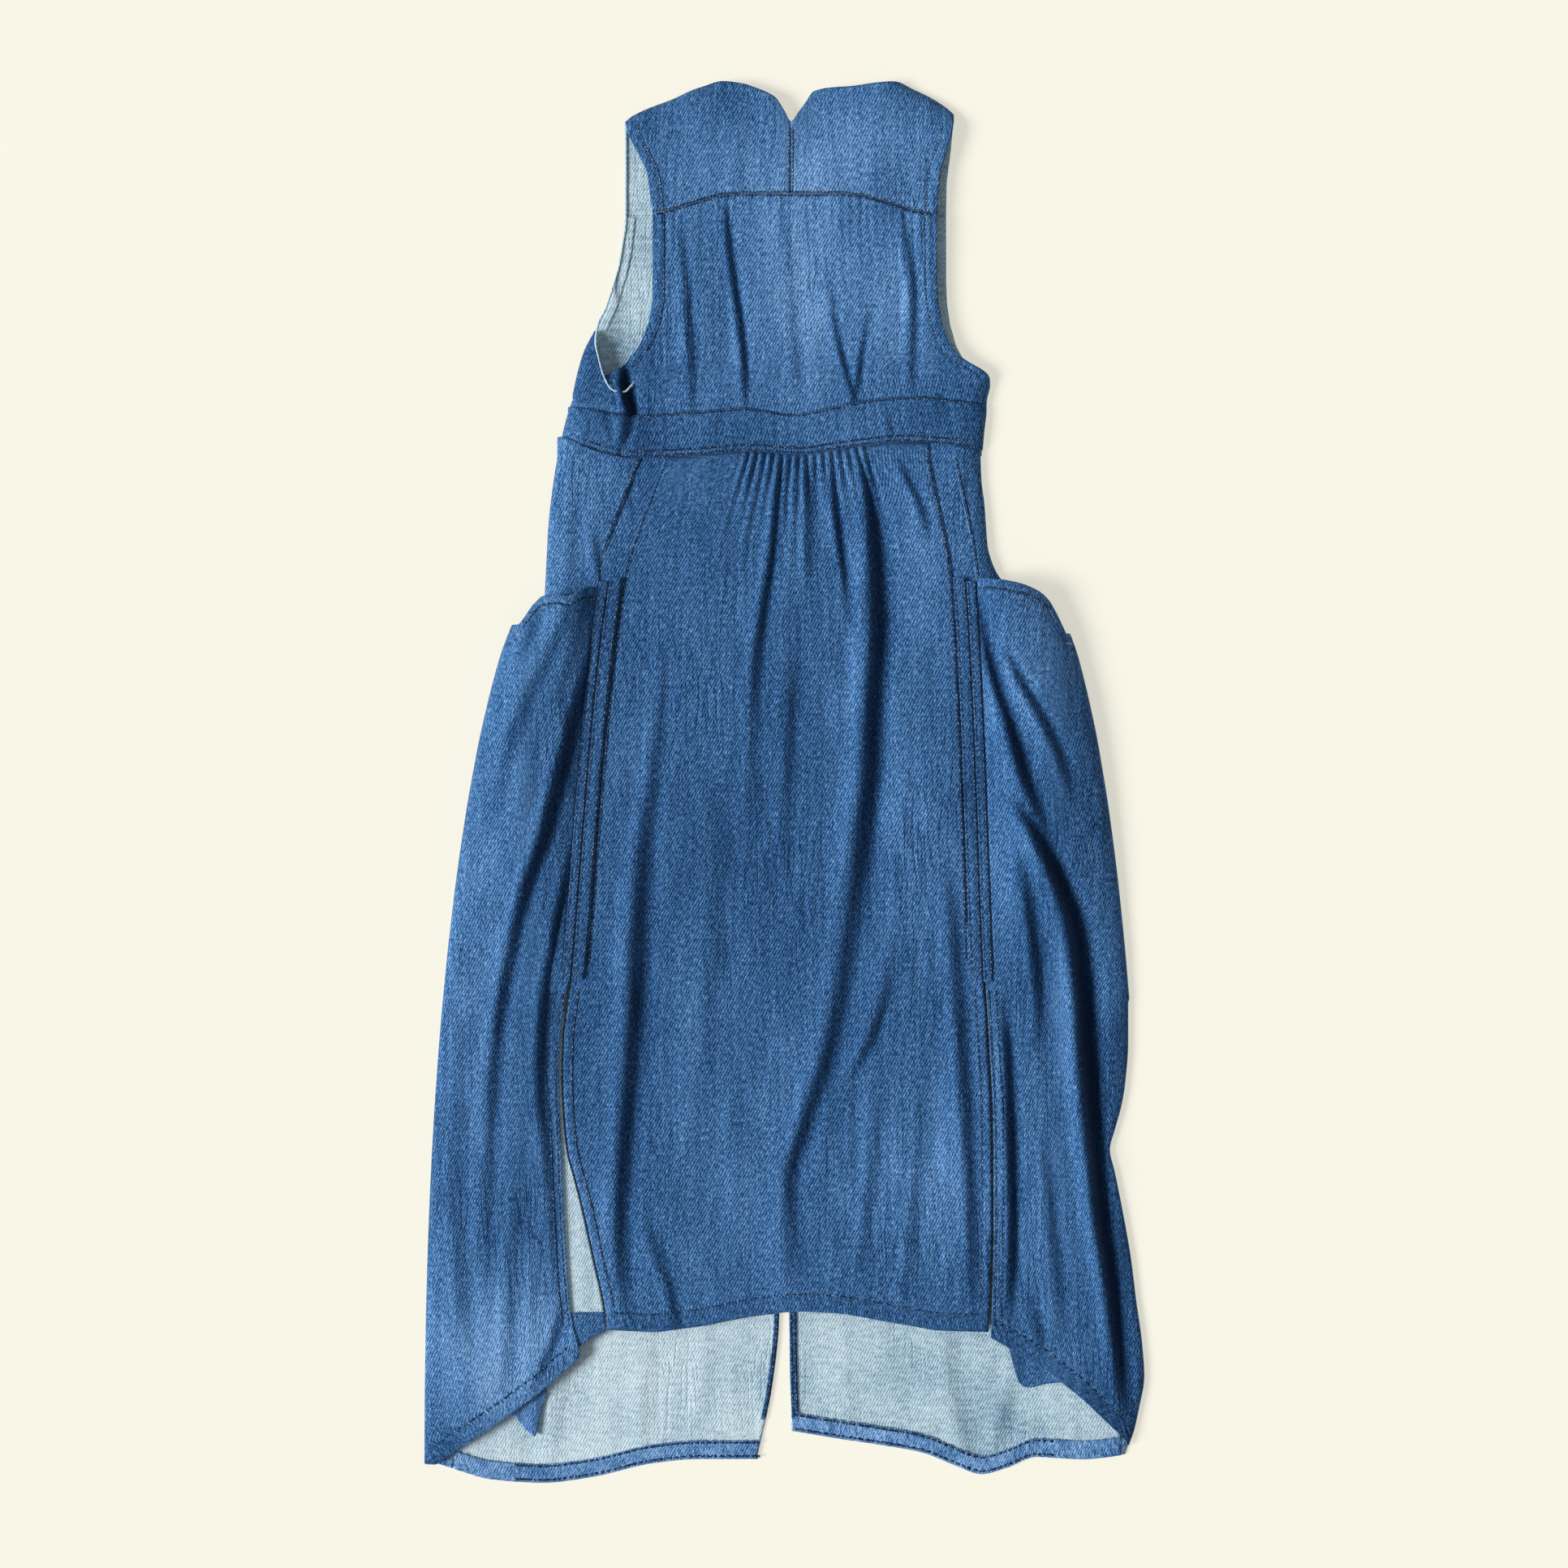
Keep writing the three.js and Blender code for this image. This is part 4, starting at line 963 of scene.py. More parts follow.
for side, s in SIDES:
    own = LINES[side]
    left, right = between(s, own["yoke_middle"], own["yoke_armhole"])
    x, y, z = grid(left, right, moved(YOKE_SEAM, 0.3), NECK_EDGE, yoke_height, step=2.7)
    yoke = shell(f"yoke_cloth_{side}", x, y, z, fade=fading_and_painted_light(x, y) + 0.1)
    left, right = between(s, moved(own["yoke_middle"], 1), moved(own["yoke_armhole"], -2))
    x, y, z = grid(left, right, moved(YOKE_SEAM, 3), lambda x: NECK_EDGE(x) - 3 - 21 * ease((np.abs(x) - 45) / 20),
                   lambda x, y: UNDER_Z - 0.9 + 0.2 * crinkle(x, y, 33), step=6)
    lining = shell(f"yoke_lining_cloth_{side}", x, y, z, wrong_up=False)
    put(lining, "garment", [f"yoke_lining_{side}"], held="laid", rests_on=[yoke.name])
    put(yoke, "garment", [f"front_yoke_{side}"], held="laid", rests_on=[lining.name], extras=[lining])
    for layer, edge, depth, pale in (("armhole_facing", "armhole", UNDER_Z - 0.8, False),
                                     ("back_armhole_facing", "back_armhole", BACK_Z + 0.8, True)):
        left, right = between(s, moved(own[edge], -10), moved(own[edge], -1))
        low, high = (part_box(f"{layer}_{side}")[k].y / MM for k in (0, 1))
        x, y, z = grid(left, right, level(low), level(high), lambda x, y: depth + 0.08 * ripple(x, y, 5, 8, 34), step=3)
        facing = shell(f"{layer}_cloth_{side}", x, y, z, wrong_up=pale, material=TRIM if not pale else DENIM,
                       fade=wrong_side_tone(x, y) + 0.2, thickness=0.5)
        put(facing, "garment", [f"{layer}_{side}"], held="laid",
            rests_on=["bodice_cloth" if layer == "armhole_facing" else f"back_bodice_cloth_{side}"])

# %% [markdown]
# ## Midriff band
# The band is two layers of cloth, so it lies a little proud, deeper in colour, and puckers between its two rows of
# stitches.

# %% Midriff band
def band_height(x, y):
    """Flat and slightly crowned between its seams, with short upright puckers, and turned down at the side folds."""
    up = (y - BAND_LOWER(x)) / (BAND_UPPER(x) - BAND_LOWER(x))
    z = 0.9 * np.sin(np.pi * np.clip(up, 0, 1)) + crinkle(x, y, 41, 0.45) + 0.5 * ripple(x, y, 6, 30, 42)
    z = z + dip(y - BAND_LOWER(x)) + dip(BAND_UPPER(x) - y)
    z = z + folds(x, y, [[(350, 92, 0, 6), (335, 96, 0.9, 6), (318, 98, 0.7, 5), (303, 98, 0, 5)],
                         [(350, -60, 0, 6), (330, -64, 0.6, 6), (303, -66, 0, 5)],
                         [(356, -144, 3.0, 6), (335, -146, 3.0, 6), (318, -150, 2.0, 6), (300, -156, 0, 6)],
                         [(352, -168, 0, 5), (335, -166, 1.0, 5), (315, -160, 0.8, 5), (303, -158, 0, 5)]])[0]
    for side, s in SIDES:
        z = z - rolled(LINES[side]["band_end"](y) - s * x, 24, FRONT_Z - EDGE_Z)
    return FRONT_Z + z


left, right = (lambda y: -LINES["left"]["band_end"](y)), LINES["right"]["band_end"]
x, y, z = grid(left, right, moved(BAND_LOWER, 0.1), moved(BAND_UPPER, -0.1), band_height, step=2.4)
band = shell("band_cloth", x, y, z, fade=fading_and_painted_light(x, y) - 0.1)
x, y, z = grid(moved(left, 26), moved(right, -26), moved(BAND_LOWER, 3), moved(BAND_UPPER, -3),
               lambda x, y: UNDER_Z - 1.0 + 0.1 * ripple(x, y, 8, 20, 43), step=6)
lining = shell("band_lining_cloth", x, y, z, material=TRIM)
put(lining, "garment", ["front_band_lining"], held="laid", rests_on=["band_cloth"])
put(band, "garment", ["front_band"], held="laid", rests_on=["band_lining_cloth"])

# %% [markdown]
# ## Front skirt
# One cloth from the band to the hem. It is gathered into the middle of the band in small pleats that fan out and
# fade at different depths. Below them a few long folds run to the hem, and the one on the right is deep. The part
# below the slits is free, past the fold line between the slit tops, but it is built lying flat and doesn't lift.

# %% Front skirt
SKIRT_FOLDS = [
    [(302, 70, 0, 6), (270, 76, 2.0, 8), (230, 81, 3.6, 11), (150, 84, 4.4, 13), (80, 80, 4.4, 13), (10, 77, 4.4, 14),
     (-60, 70, 4.0, 15), (-120, 62, 2.6, 14), (-190, 52, 2.1, 13), (-260, 36, 2.4, 12), (-310, 20, 2.4, 11),
     (-370, 4, 2.0, 10), (-430, 6, 0.9, 12), (-480, 12, 0, 12)],
    [(302, -4, 0, 4), (280, -6, 1.0, 5), (220, -11, 1.8, 6), (160, -20, 2.0, 7), (100, -27, 1.5, 8), (40, -29, 0.9, 9),
     (-60, -30, 0, 10)],
    [(180, 10, 0, 9), (110, 8, 0.5, 9), (40, 4, 1.0, 8), (-20, 3, 0.8, 8), (-90, 0, 0, 8)],
    [(302, 40, 0, 4), (270, 44, 1.3, 5), (225, 50, 1.6, 5), (180, 56, 1.0, 5), (140, 60, 0, 5)],
    [(302, 20, 0, 4), (270, 22, 1.0, 5), (230, 23, 0.9, 6), (170, 20, 0, 6)],
    [(302, 104, 0, 5), (280, 114, 1.1, 6), (255, 126, 1.0, 6), (225, 134, 0, 6)],
    [(180, -108, 0, 9), (100, -112, 0.6, 9), (20, -120, 1.2, 9), (-50, -129, 2.0, 11), (-120, -135, 3.0, 13),
     (-200, -139, 3.2, 13), (-280, -144, 3.0, 12), (-350, -150, 2.8, 11), (-420, -153, 2.2, 11), (-490, -146, 0.8, 11),
     (-520, -140, 0, 11)],
    [(-390, -132, 0, 8), (-430, -120, 0.9, 8), (-480, -104, 1.1, 8), (-520, -98, 0, 8)],
    [(-150, 100, 0, 8), (-195, 93, 1.4, 8), (-240, 78, 1.5, 8), (-280, 58, 0, 8)],
    [(-60, 148, 0, 9), (-140, 156, 1.2, 10), (-230, 163, 1.7, 10), (-330, 169, 1.8, 9), (-420, 173, 1.6, 9),
     (-500, 170, 0, 9)],
    [(-230, 128, 0, 8), (-320, 124, 0.6, 9), (-420, 118, 0.7, 9), (-505, 114, 0, 9)],
    [(-240, 88, 0, 7), (-320, 84, 0.6, 8), (-400, 76, 0.7, 8), (-480, 70, 0, 8)],
    [(60, -70, 0, 14), (-100, -62, 0.6, 15), (-300, -78, 0.6, 16), (-480, -70, 0, 16)],
]
PLEAT, PLEAT_LEFT, PLEAT_RIGHT = 7.6, -38, 72


def pleats(x, y):
    """Gathers that fan out from their middle: a sine of the place at the band, with each pleat's own height and its
    own depth of fading."""
    depth = np.clip(BAND_LOWER(x) - y, 0, None)
    middle = (PLEAT_LEFT + PLEAT_RIGHT) / 2
    at_band = middle + (x - middle) / (1 + depth / 190)
    place = (at_band - PLEAT_LEFT) / PLEAT
    table = np.random.default_rng(8).uniform(0, 1, (2, 64))
    which = np.floor(place + 0.25).astype(int) % 64
    tall, fading = 0.7 + 0.7 * table[0, which], 30 + 75 * table[1, which]
    inside = ease((at_band - PLEAT_LEFT + 6) / 8) * ease((PLEAT_RIGHT + 6 - at_band) / 8)
    return 2.3 * tall * inside * np.sin(place * 2 * np.pi) * np.exp(-((depth / fading) ** 1.6)) * ease(depth / 3)


def skirt_height(x, y):
    """Flat, plus long folds, pleats, crinkle that grows towards the right hem, and the hem's own pucker."""
    low = ease((-120 - y) / 160) * ease((x + 20) / 110)
    z = folds(x, y, SKIRT_FOLDS)[0] + pleats(x, y) + crinkle(x, y, 51, 0.75)
    z = z + low * (0.55 * ripple(x, y, 7.5, 60, 55) + 0.3 * ripple(x, y, 5.6, 30, 56))
    z = z + dip(BAND_LOWER(x) - y) + hem_pucker(x, y, y - FRONT_HEM(x), 16) + dip(y - FRONT_HEM(x) - 16, 0.5, 1.8)
    free = ease((SLIT_Y - y) / 40)
    for side, s in SIDES:
        own = LINES[side]
        edge = np.where(y > SLIT_Y, own["princess"](y), own["flap"](y))
        z = z + dip(edge - s * x, 0.3) * (1 - free)
        z = z + free * 0.7 * np.exp(-(((edge - s * x - 4.5) / 3.6) ** 2))
    return FRONT_Z + z


def skirt_fade_and_shade(x, y):
    ridge, dark = folds(x, y, SKIRT_FOLDS)
    # fading and painted light, less the painted shade along each fold's steep flank; a little lighter where a fold
    # stands up, darker where it sinks, and darker in the hem band
    return fading_and_painted_light(x, y) - 2.4 * dark + 0.035 * ridge - 0.10 * ease((16 - y + FRONT_HEM(x)) / 2)


def skirt_edge(side):
    """Princess seam above the slit, free edge below it."""
    own = LINES[side]
    return lambda y: np.where(y > SLIT_Y, mix(own["princess"](y), own["flap"](y), ease((SLIT_Y + 14 - y) / 14)) - 0.2,
                              own["flap"](y))


x, y, z = grid(lambda y: -skirt_edge("left")(y), skirt_edge("right"), FRONT_HEM, moved(BAND_LOWER, -0.1), skirt_height,
               step=2.75, crowd=0.15)
skirt = shell("front_skirt_cloth", x, y, z, fade=skirt_fade_and_shade(x, y))
put(skirt, "front_flap", ["front_skirt", "front_flap"], held="gathered",
    rests_on=["back_skirt_cloth_left", "band_cloth"])
x, y, z = grid(lambda y: 1 - LINES["left"]["flap"](y), moved(LINES["right"]["flap"], -1), moved(FRONT_HEM, 0.5),
               moved(FRONT_HEM, 17), lambda x, y: skirt_height(x, y) - LAYER, step=4)
turn = shell("front_hem_turned", x, y, z, material=TRIM, wrong_up=True)
put(turn, "front_flap", ["front_flap_hem"], held="laid", rests_on=["front_skirt_cloth"])
for side, s in SIDES:
    left, right = between(s, moved(LINES[side]["flap"], -10), moved(LINES[side]["flap"], -1))
    x, y, z = grid(left, right, moved(FRONT_HEM, 19), level(SLIT_Y - 12),
                   lambda x, y: skirt_height(x, y) - LAYER, step=4)
    facing = shell(f"front_slit_facing_{side}", x, y, z, material=TRIM, wrong_up=True)
    put(facing, "front_flap", [f"flap_slit_facing_{side}"], held="laid",
        rests_on=["front_skirt_cloth"])

# %% [markdown]
# ## Gores, slit bands and pocket plackets
# Between the front skirt and the side panel runs a narrow gore. Over it lie two long stitched bands, side by side:
# one finishes the front's edge above its slit, the other holds the pocket drape. Cut on a slant and stitched down
# both edges, they twist a little, like a flat rope.

# %% Gores, slit bands and pocket plackets
def strip_height(inner, outer, s, base, crown):
    """A crown across the strip, the sine of its share across, with a slanting twist along it."""
    def height(x, y):
        across = (s * x - inner(y)) / np.maximum(outer(y) - inner(y), 0.1)
        twist = 0.22 * np.sin((y + 0.8 * s * x) * 2 * np.pi / 8.5 + 1.3 * ripple(x, y, 20, 35, 61))
        return (base + (crown + twist * (crown > 0)) * np.sin(np.pi * np.clip(across, 0, 1))
                + 0.25 * ripple(x, y, 40, 70, 62))
    return height


for side, s in SIDES:
    own = LINES[side]
    for name, stem, inner, outer, base, crown, low, high, shade in (
            ("gore_cloth", "front_gore", moved(own["gore_inner"], -1.6), moved(own["gore_outer"], 1.6),
             FRONT_Z - 1.0, 0,
             level(SLIT_Y + 0.3), moved(BAND_LOWER, -0.1), 0),
            ("slit_band_cloth", "slit_band", own["band_inner"], own["band_outer"], BAND_Z, 1.3, level(SLIT_Y + 2),
             level(MOUTH_Y + 4), -0.1),
            ("placket_cloth", "pocket_placket", own["placket_inner"], own["placket_outer"], BAND_Z, 1.3,
             level(SLIT_Y + 0.3), level(MOUTH_Y), -0.1)):
        left, right = between(s, inner, outer)
        x, y, z = grid(left, right, low, high, strip_height(inner, outer, s, base, crown), step=1.5)
        strip = shell(f"{name}_{side}", x, y, z, fade=fading_and_painted_light(x, y) + shade)
        put(strip, "garment", [f"{stem}_{side}"], held="laid",
            rests_on=["front_skirt_cloth" if not crown else f"gore_cloth_{side}"])

# %% [markdown]
# ## Side panels
# The side panel shows above the pocket, turns down to the side fold, backs the pocket, and hangs behind the drape
# as an inner layer with its own hem, which peeks out under the drape's hem.

# %% Side panels
Z_UNDER = BACK_Z + 3 * LAYER + 0.4


def panel_height(side, s):
    own = LINES[side]

    def height(x, y):
        """Level near the front, then a quarter ellipse down to the side fold; lower down, at the inner layer."""
        lowered = ease((SLIT_Y + 20 - y) / 90)
        resting = EDGE_Z + LAYER * np.clip((MOUTH_Y + 80 - y) / 45, 0, 1)
        foot = mix(resting, Z_UNDER, ease((own["under_hem"] + 90 - y) / 50))
        ruffle = 0.8 * np.sin(s * x * 2 * np.pi / 19) * ease((own["under_hem"] + 60 - y) / 30)
        up = np.clip((own["panel_outer"](y) - s * x) / 24, 0, 1)
        flat = mix(FRONT_Z, Z_UNDER, lowered)
        shown = ease((y - MOUTH_Y + 10) / 20)
        soft = crinkle(x, y, 65, 0.7) + folds(x, y, PANEL_FOLDS[side])[0]
        return foot + (flat - foot) * np.sqrt(1 - (1 - up) ** 2) + shown * soft * up + ruffle
    return height


PANEL_FOLDS = {
    "left": [[(260, -178, 0, 6), (225, -175, 1.0, 6), (200, -172, 1.8, 5), (185, -170, 0.5, 4), (170, -170, 0, 4)],
             [(300, -190, 0, 10), (240, -196, 0.8, 10), (190, -200, 0.4, 9), (160, -200, 0, 9)]],
    "right": [[(300, 164, 0, 5), (250, 168, 0.8, 6), (200, 174, 0.9, 5), (180, 176, 0, 5)]],
}
for side, s in SIDES:
    own = LINES[side]
    height = panel_height(side, s)
    left, right = between(s, own["panel_inner"], own["panel_outer"])
    hem = lambda x: PANEL_HEM[side](np.abs(x))
    x, y, z = grid(left, right, hem, moved(BAND_LOWER, -0.1), height, step=3.6)
    panel = shell(f"side_panel_cloth_{side}", x, y, z, fade=fading_and_painted_light(x, y) + 0.05)
    put(panel, "garment", [f"side_panel_{side}"], held="hung", rests_on=[f"back_skirt_cloth_{side}", "band_cloth"])
    left, right = between(s, moved(own["panel_inner"], 1), moved(own["panel_outer"], -1))
    x, y, z = grid(left, right, moved(hem, 0.5), moved(hem, 19), lambda x, y: height(x, y) - LAYER, step=4)
    turn = shell(f"side_panel_hem_turned_{side}", x, y, z, material=TRIM, wrong_up=True)
    put(turn, "garment", [f"side_panel_hem_{side}"], held="laid", rests_on=[panel.name])

# %% [markdown]
# ## Pocket drapes
# The big side drapes are the garment's character: a wide cloth, caught at the placket, that stands up over the
# pocket's air, rolls round the side fold and hangs to a slanting hem. Its section rises from the placket to a crown,
# holds, and comes down in a round roll at the outer line. Below the slit the inner corner is free, past a slanting
# fold line, but it is built lying flat and doesn't turn on it.

# %% Pocket drapes
CROWN_Z = {side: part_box(f"pocket_drape_{side}")[1].z / MM - 0.6 for side, _ in SIDES}
CORNER_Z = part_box("drape_corner_left")[0].z / MM + 3.6
DRAPE_FOLDS = {
    "left": [
        [(175, -172, 0, 5), (130, -176, 1.6, 7), (80, -190, 2.4, 8), (20, -206, 3.0, 8), (-40, -220, 3.0, 9),
         (-100, -240, 2.8, 9), (-160, -254, 2.4, 9), (-230, -266, 2.0, 8), (-300, -271, 1.2, 8), (-400, -276, 0.7, 10),
         (-520, -284, 0, 12)],
        [(-40, -192, 0, 6), (-90, -202, 1.8, 7), (-150, -214, 2.3, 8), (-220, -224, 2.3, 8), (-280, -226, 1.8, 8),
         (-340, -220, 1.2, 8), (-420, -214, 0.8, 8), (-500, -212, 0, 8)],
        [(172, -196, 0, 6), (130, -212, 1.0, 9), (70, -240, 1.1, 11), (10, -262, 0.9, 11), (-60, -276, 0, 11)],
        [(170, -222, 0, 6), (140, -234, 0.9, 7), (110, -246, 0, 7)],
        [(-240, -300, 0, 10), (-330, -303, 0.9, 10), (-450, -300, 1.1, 11), (-560, -296, 0, 11)],
        [(-330, -244, 0, 9), (-420, -250, 0.8, 10), (-520, -256, 1.0, 10), (-575, -262, 0, 10)],
        [(-470, -205, 0, 7), (-510, -212, 1.6, 8), (-540, -224, 1.2, 8), (-570, -236, 0, 8)],
    ],
    "right": [
        [(186, 176, 0, 5), (150, 180, 1.8, 6), (100, 192, 3.4, 8), (50, 207, 3.8, 9), (0, 222, 3.4, 10),
         (-40, 238, 1.6, 9),
         (-70, 250, 0, 9)],
        [(130, 200, 0, 6), (95, 216, 1.8, 7), (60, 236, 2.0, 8), (20, 254, 1.5, 8), (-20, 266, 0, 8)],
        [(-10, 210, 0, 8), (-40, 226, 3.4, 9), (-80, 246, 5.0, 11), (-130, 264, 6.4, 12), (-190, 272, 7.2, 12),
         (-260, 277, 7.2, 12), (-330, 283, 6.2, 11), (-400, 290, 5.4, 10), (-460, 299, 4.6, 9), (-530, 308, 3.0, 8),
         (-590, 314, 0, 8)],
        [(-60, 214, 0, 7), (-110, 224, 1.8, 8), (-170, 232, 2.0, 8), (-230, 236, 1.0, 8), (-300, 240, 0, 8)],
        [(-190, 200, 0, 6), (-260, 206, 2.2, 7), (-350, 209, 2.8, 7), (-440, 210, 2.4, 7), (-500, 208, 0, 7)],
        [(-300, 236, 0, 7), (-380, 244, 0.9, 8), (-460, 252, 1.1, 8), (-530, 258, 0, 8)],
        [(-470, 226, 0, 6), (-505, 234, 0.8, 7), (-530, 240, 0, 7)],
    ],
}


def drape_inner(side):
    """Placket edge above the slit, free edge below it."""
    own = LINES[side]
    return lambda y: np.where(y > SLIT_Y, mix(own["drape_inner"](y), own["slit"](y), ease((SLIT_Y + 16 - y) / 16)),
                              own["slit"](y))


def drape_height(side, s):
    own, inner_of = LINES[side], drape_inner(side)

    def height(x, y):
        """Edge height plus loft * section: up by a sine over the first third, a slow fall, then (1 - t^5)^0.45 down
        to the side fold, t being the share from the inner edge to the outer line."""
        inner, outer = inner_of(y), own["outline"](y)
        t = np.clip((s * x - inner) / (outer - inner), 0, 1)
        share = np.clip((MOUTH_Y + 130 - y) / (MOUTH_Y + 130 - SLIT_Y), 0, 1)
        loft = np.sin(np.pi * share ** 0.8)
        edge = mix(BAND_Z, CORNER_Z, np.clip((SLIT_Y - y) / (SLIT_Y - own["corner_y"]), 0, 1))
        rise = np.sin(np.pi / 2 * np.clip(t / 0.34, 0, 1)) * (1 - 0.18 * np.clip((t - 0.34) / 0.5, 0, 1) ** 2)
        body = edge + (CROWN_Z[side] - BAND_Z) * loft * rise
        soft = folds(x, y, DRAPE_FOLDS[side])[0] + crinkle(x, y, 81 if s < 0 else 91, 1.0)
        lower = ease((-60 - y) / 160)
        soft = soft + lower * (0.28 * ripple(x, y, 6, 48, 83) + 0.16 * ripple(x, y, 4, 26, 84))
        hem = y - own["drape_hem"](x)
        soft = soft + 1.3 * hem_pucker(x, y, hem, 19) + dip(hem - 19, 0.5, 1.9)
        soft = soft * ease(t / 0.06 + 0.35) * ease((1 - t) / 0.05)
        z = EDGE_Z + (body - EDGE_Z) * (1 - t**5) ** 0.45 + soft
        return np.maximum(z, EDGE_Z * (0.6 + 0.4 * t))
    return height


def mouth_top(side):
    dipped = LINES[side]["mouth_dip"]
    return lambda x: MOUTH_Y - dipped(np.abs(x))


def gathered_mouth(side, s, base):
    """The drape's height plus small gathers, strongest at the outer end, and a roll over the hem's fold."""
    top = mouth_top(side)

    def height(x, y):
        place = ease((s * x - 200) / 25)
        below = top(x) - y
        along = (s * x + 0.3 * below) * 2 * np.pi / 6.3 + 1.2 * ripple(x, y, 17, 80, 85)
        gathers = (0.35 + 1.25 * place) * np.sin(along)
        rolled_hem = 0.9 * np.sin(np.pi * np.clip(below / 9, 0, 1))
        return base(x, y) + 0.5 * gathers * np.exp(-((below / 24) ** 2)) + rolled_hem
    return height


for side, s in SIDES:
    own, top = LINES[side], mouth_top(side)
    height = drape_height(side, s)
    gathered = gathered_mouth(side, s, height)
    left, right = between(s, drape_inner(side), own["outline"])
    x, y, z = grid(left, right, own["drape_hem"], moved(top, -9.4), gathered, step=2.9, crowd=0.55)
    dark = folds(x, y, DRAPE_FOLDS[side])
    # fading and painted light, less the painted shade along each fold's steep flank; a little lighter where a fold
    # stands up, and darker in the hem band
    tone = fading_and_painted_light(x, y) - 2.4 * dark[1] + 0.03 * dark[0] - 0.08 * ease((19 - y + own["drape_hem"](x)) / 2)
    drape = shell(f"pocket_drape_cloth_{side}", x, y, z, fade=tone, anchor=0 if s > 0 else 1)
    x, y, z = grid(left, right, moved(top, -9), top, gathered, step=2.0, crowd=0.5)
    mouth = shell(f"pocket_mouth_hem_cloth_{side}", x, y, z, fade=fading_and_painted_light(x, y) + 0.05, anchor=0 if s > 0 else 1)
    put(mouth, "garment", [f"pocket_mouth_hem_{side}"], held="gathered", rests_on=[drape.name])
    put(drape, f"drape_corner_{side}", [f"pocket_drape_{side}", f"drape_corner_{side}"], held="draped",
        rests_on=[f"placket_cloth_{side}", f"pocket_wrap_cloth_{side}"])
    x, y, z = grid(*between(s, moved(drape_inner(side), 1), lambda y: own["outline"](y) - 14 - 0 * y),
                   moved(own["drape_hem"], 0.6), moved(own["drape_hem"], 19), lambda x, y: height(x, y) - LAYER, step=4)
    turn = shell(f"drape_hem_turned_{side}", x, y, z, material=TRIM, wrong_up=True)
    put(turn, f"drape_corner_{side}", [f"drape_corner_hem_{side}"], held="laid",
        rests_on=[drape.name])

# %% [markdown]
# ## Turned-back slit edges
# Along the slit the drape's edge is faced. On the left the facing has rolled out and shows its pale wrong side as a
# long triangle between the front's edge and the drape's, with the end of the blue hem across its foot.

# %% Turned-back slit edges
WEDGE_FOOT = curve([(160, -505), (170, -509), (180, -514), (192, -523), (205, -531)])
for side, s in SIDES:
    own = LINES[side]
    height = drape_height(side, s)
    hem_y = float(FRONT_HEM(np.array([s * 175.0]))[0])
    if side == "left":
        inner = lambda y: np.minimum(own["flap"](y) + 2.0, own["slit"](y) - 1.5)
        low = lambda x: WEDGE_FOOT(np.abs(x))
    else:
        inner, low = own["slit"], level(hem_y + 8)
    left, right = between(s, inner, moved(own["slit"], 9))
    x, y, z = grid(left, right, low, level(SLIT_Y - 28),
                   lambda x, y: mix(height(x, y), UNDER_Z + 0.8, 0.55) - LAYER + 0.5 * crinkle(x, y, 88), step=2.6)
    facing = shell(f"drape_slit_facing_cloth_{side}", x, y, z, wrong_up=True, fade=fading_and_painted_light(x, y))
    put(facing, f"drape_corner_{side}", [f"drape_slit_facing_{side}"], held="laid",
        rests_on=[f"pocket_drape_cloth_{side}"])
    if side == "left":
        x, y, z = grid(left, right, low, level(hem_y + 16),
                       lambda x, y: mix(height(x, y), UNDER_Z + 0.8, 0.55) - LAYER + 1.2 + 0.5 * crinkle(x, y, 88),
                       step=2.2)
        foot = shell("drape_slit_foot", x, y, z, fade=fading_and_painted_light(x, y) - 0.2)
        put(foot, f"drape_corner_{side}", held="laid", rests_on=[facing.name])

# %% [markdown]
# ## Pocket wraps and bases
# Round the side fold the drape's cloth goes on under the garment to its seam with the back. A tape across the foot
# of each pocket closes it.

# %% Pocket wraps and bases
for side, s in SIDES:
    own, top = LINES[side], mouth_top(side)
    left, right = between(s, own["wrap_seam"], own["outline"])
    x, y, z = grid(left, right, BACK_HEM[side], moved(top, -9.4), lambda x, y: BACK_Z + 0 * x, step=5)
    wrap = shell(f"pocket_wrap_cloth_{side}", x, y, z, wrong_up=True, fade=wrong_side_tone(x, y),
                 anchor=0 if s > 0 else 1)
    put(wrap, "garment", [f"pocket_wrap_{side}"], held="laid", rests_on=["floor"])
    left, right = between(s, moved(own["back_outer"], 1.5), moved(own["outline"], -3))
    x, y, z = grid(left, right, moved(BACK_HEM[side], 0.5), moved(BACK_HEM[side], 17.5),
                   lambda x, y: EDGE_Z + 0.9 + 0.7 * hem_pucker(x, y, y - BACK_HEM[side](x), 19), step=2.6)
    turn = shell(f"wrap_hem_turned_{side}", x, y, z, material=TRIM, fade=0.9 + 0.35 * ripple(x, y, 9, 9, 106))
    put(turn, "garment", [f"wrap_hem_{side}"], held="laid", rests_on=[wrap.name])
    low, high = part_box(f"pocket_base_{side}")
    inner, outer = sorted(abs(v) / MM for v in (low.x, high.x))
    x, y, z = grid(*between(s, level(inner), level(outer)), level(low.y / MM), level(high.y / MM),
                   lambda x, y: (low.z + high.z) / 2 / MM + 0.1 * ripple(x, y, 4, 4, 89), step=2)
    base = shell(f"pocket_base_tape_{side}", x, y, z, material=TRIM)
    put(base, "garment", [f"pocket_base_{side}"], held="laid", rests_on=[f"side_panel_cloth_{side}"])

# %% [markdown]
# ## Back of the garment
# The back lies on the table, right side down, so its pale wrong side shows through the armholes and below the front
# hem. Each half runs from the neck to the longer back hem, open down the middle, with a stitched facing beside the
# opening. Its lower corner is free, past a slanting fold line, but it is built lying flat and doesn't lift on it. Only
# its free part ripples, and only upwards.

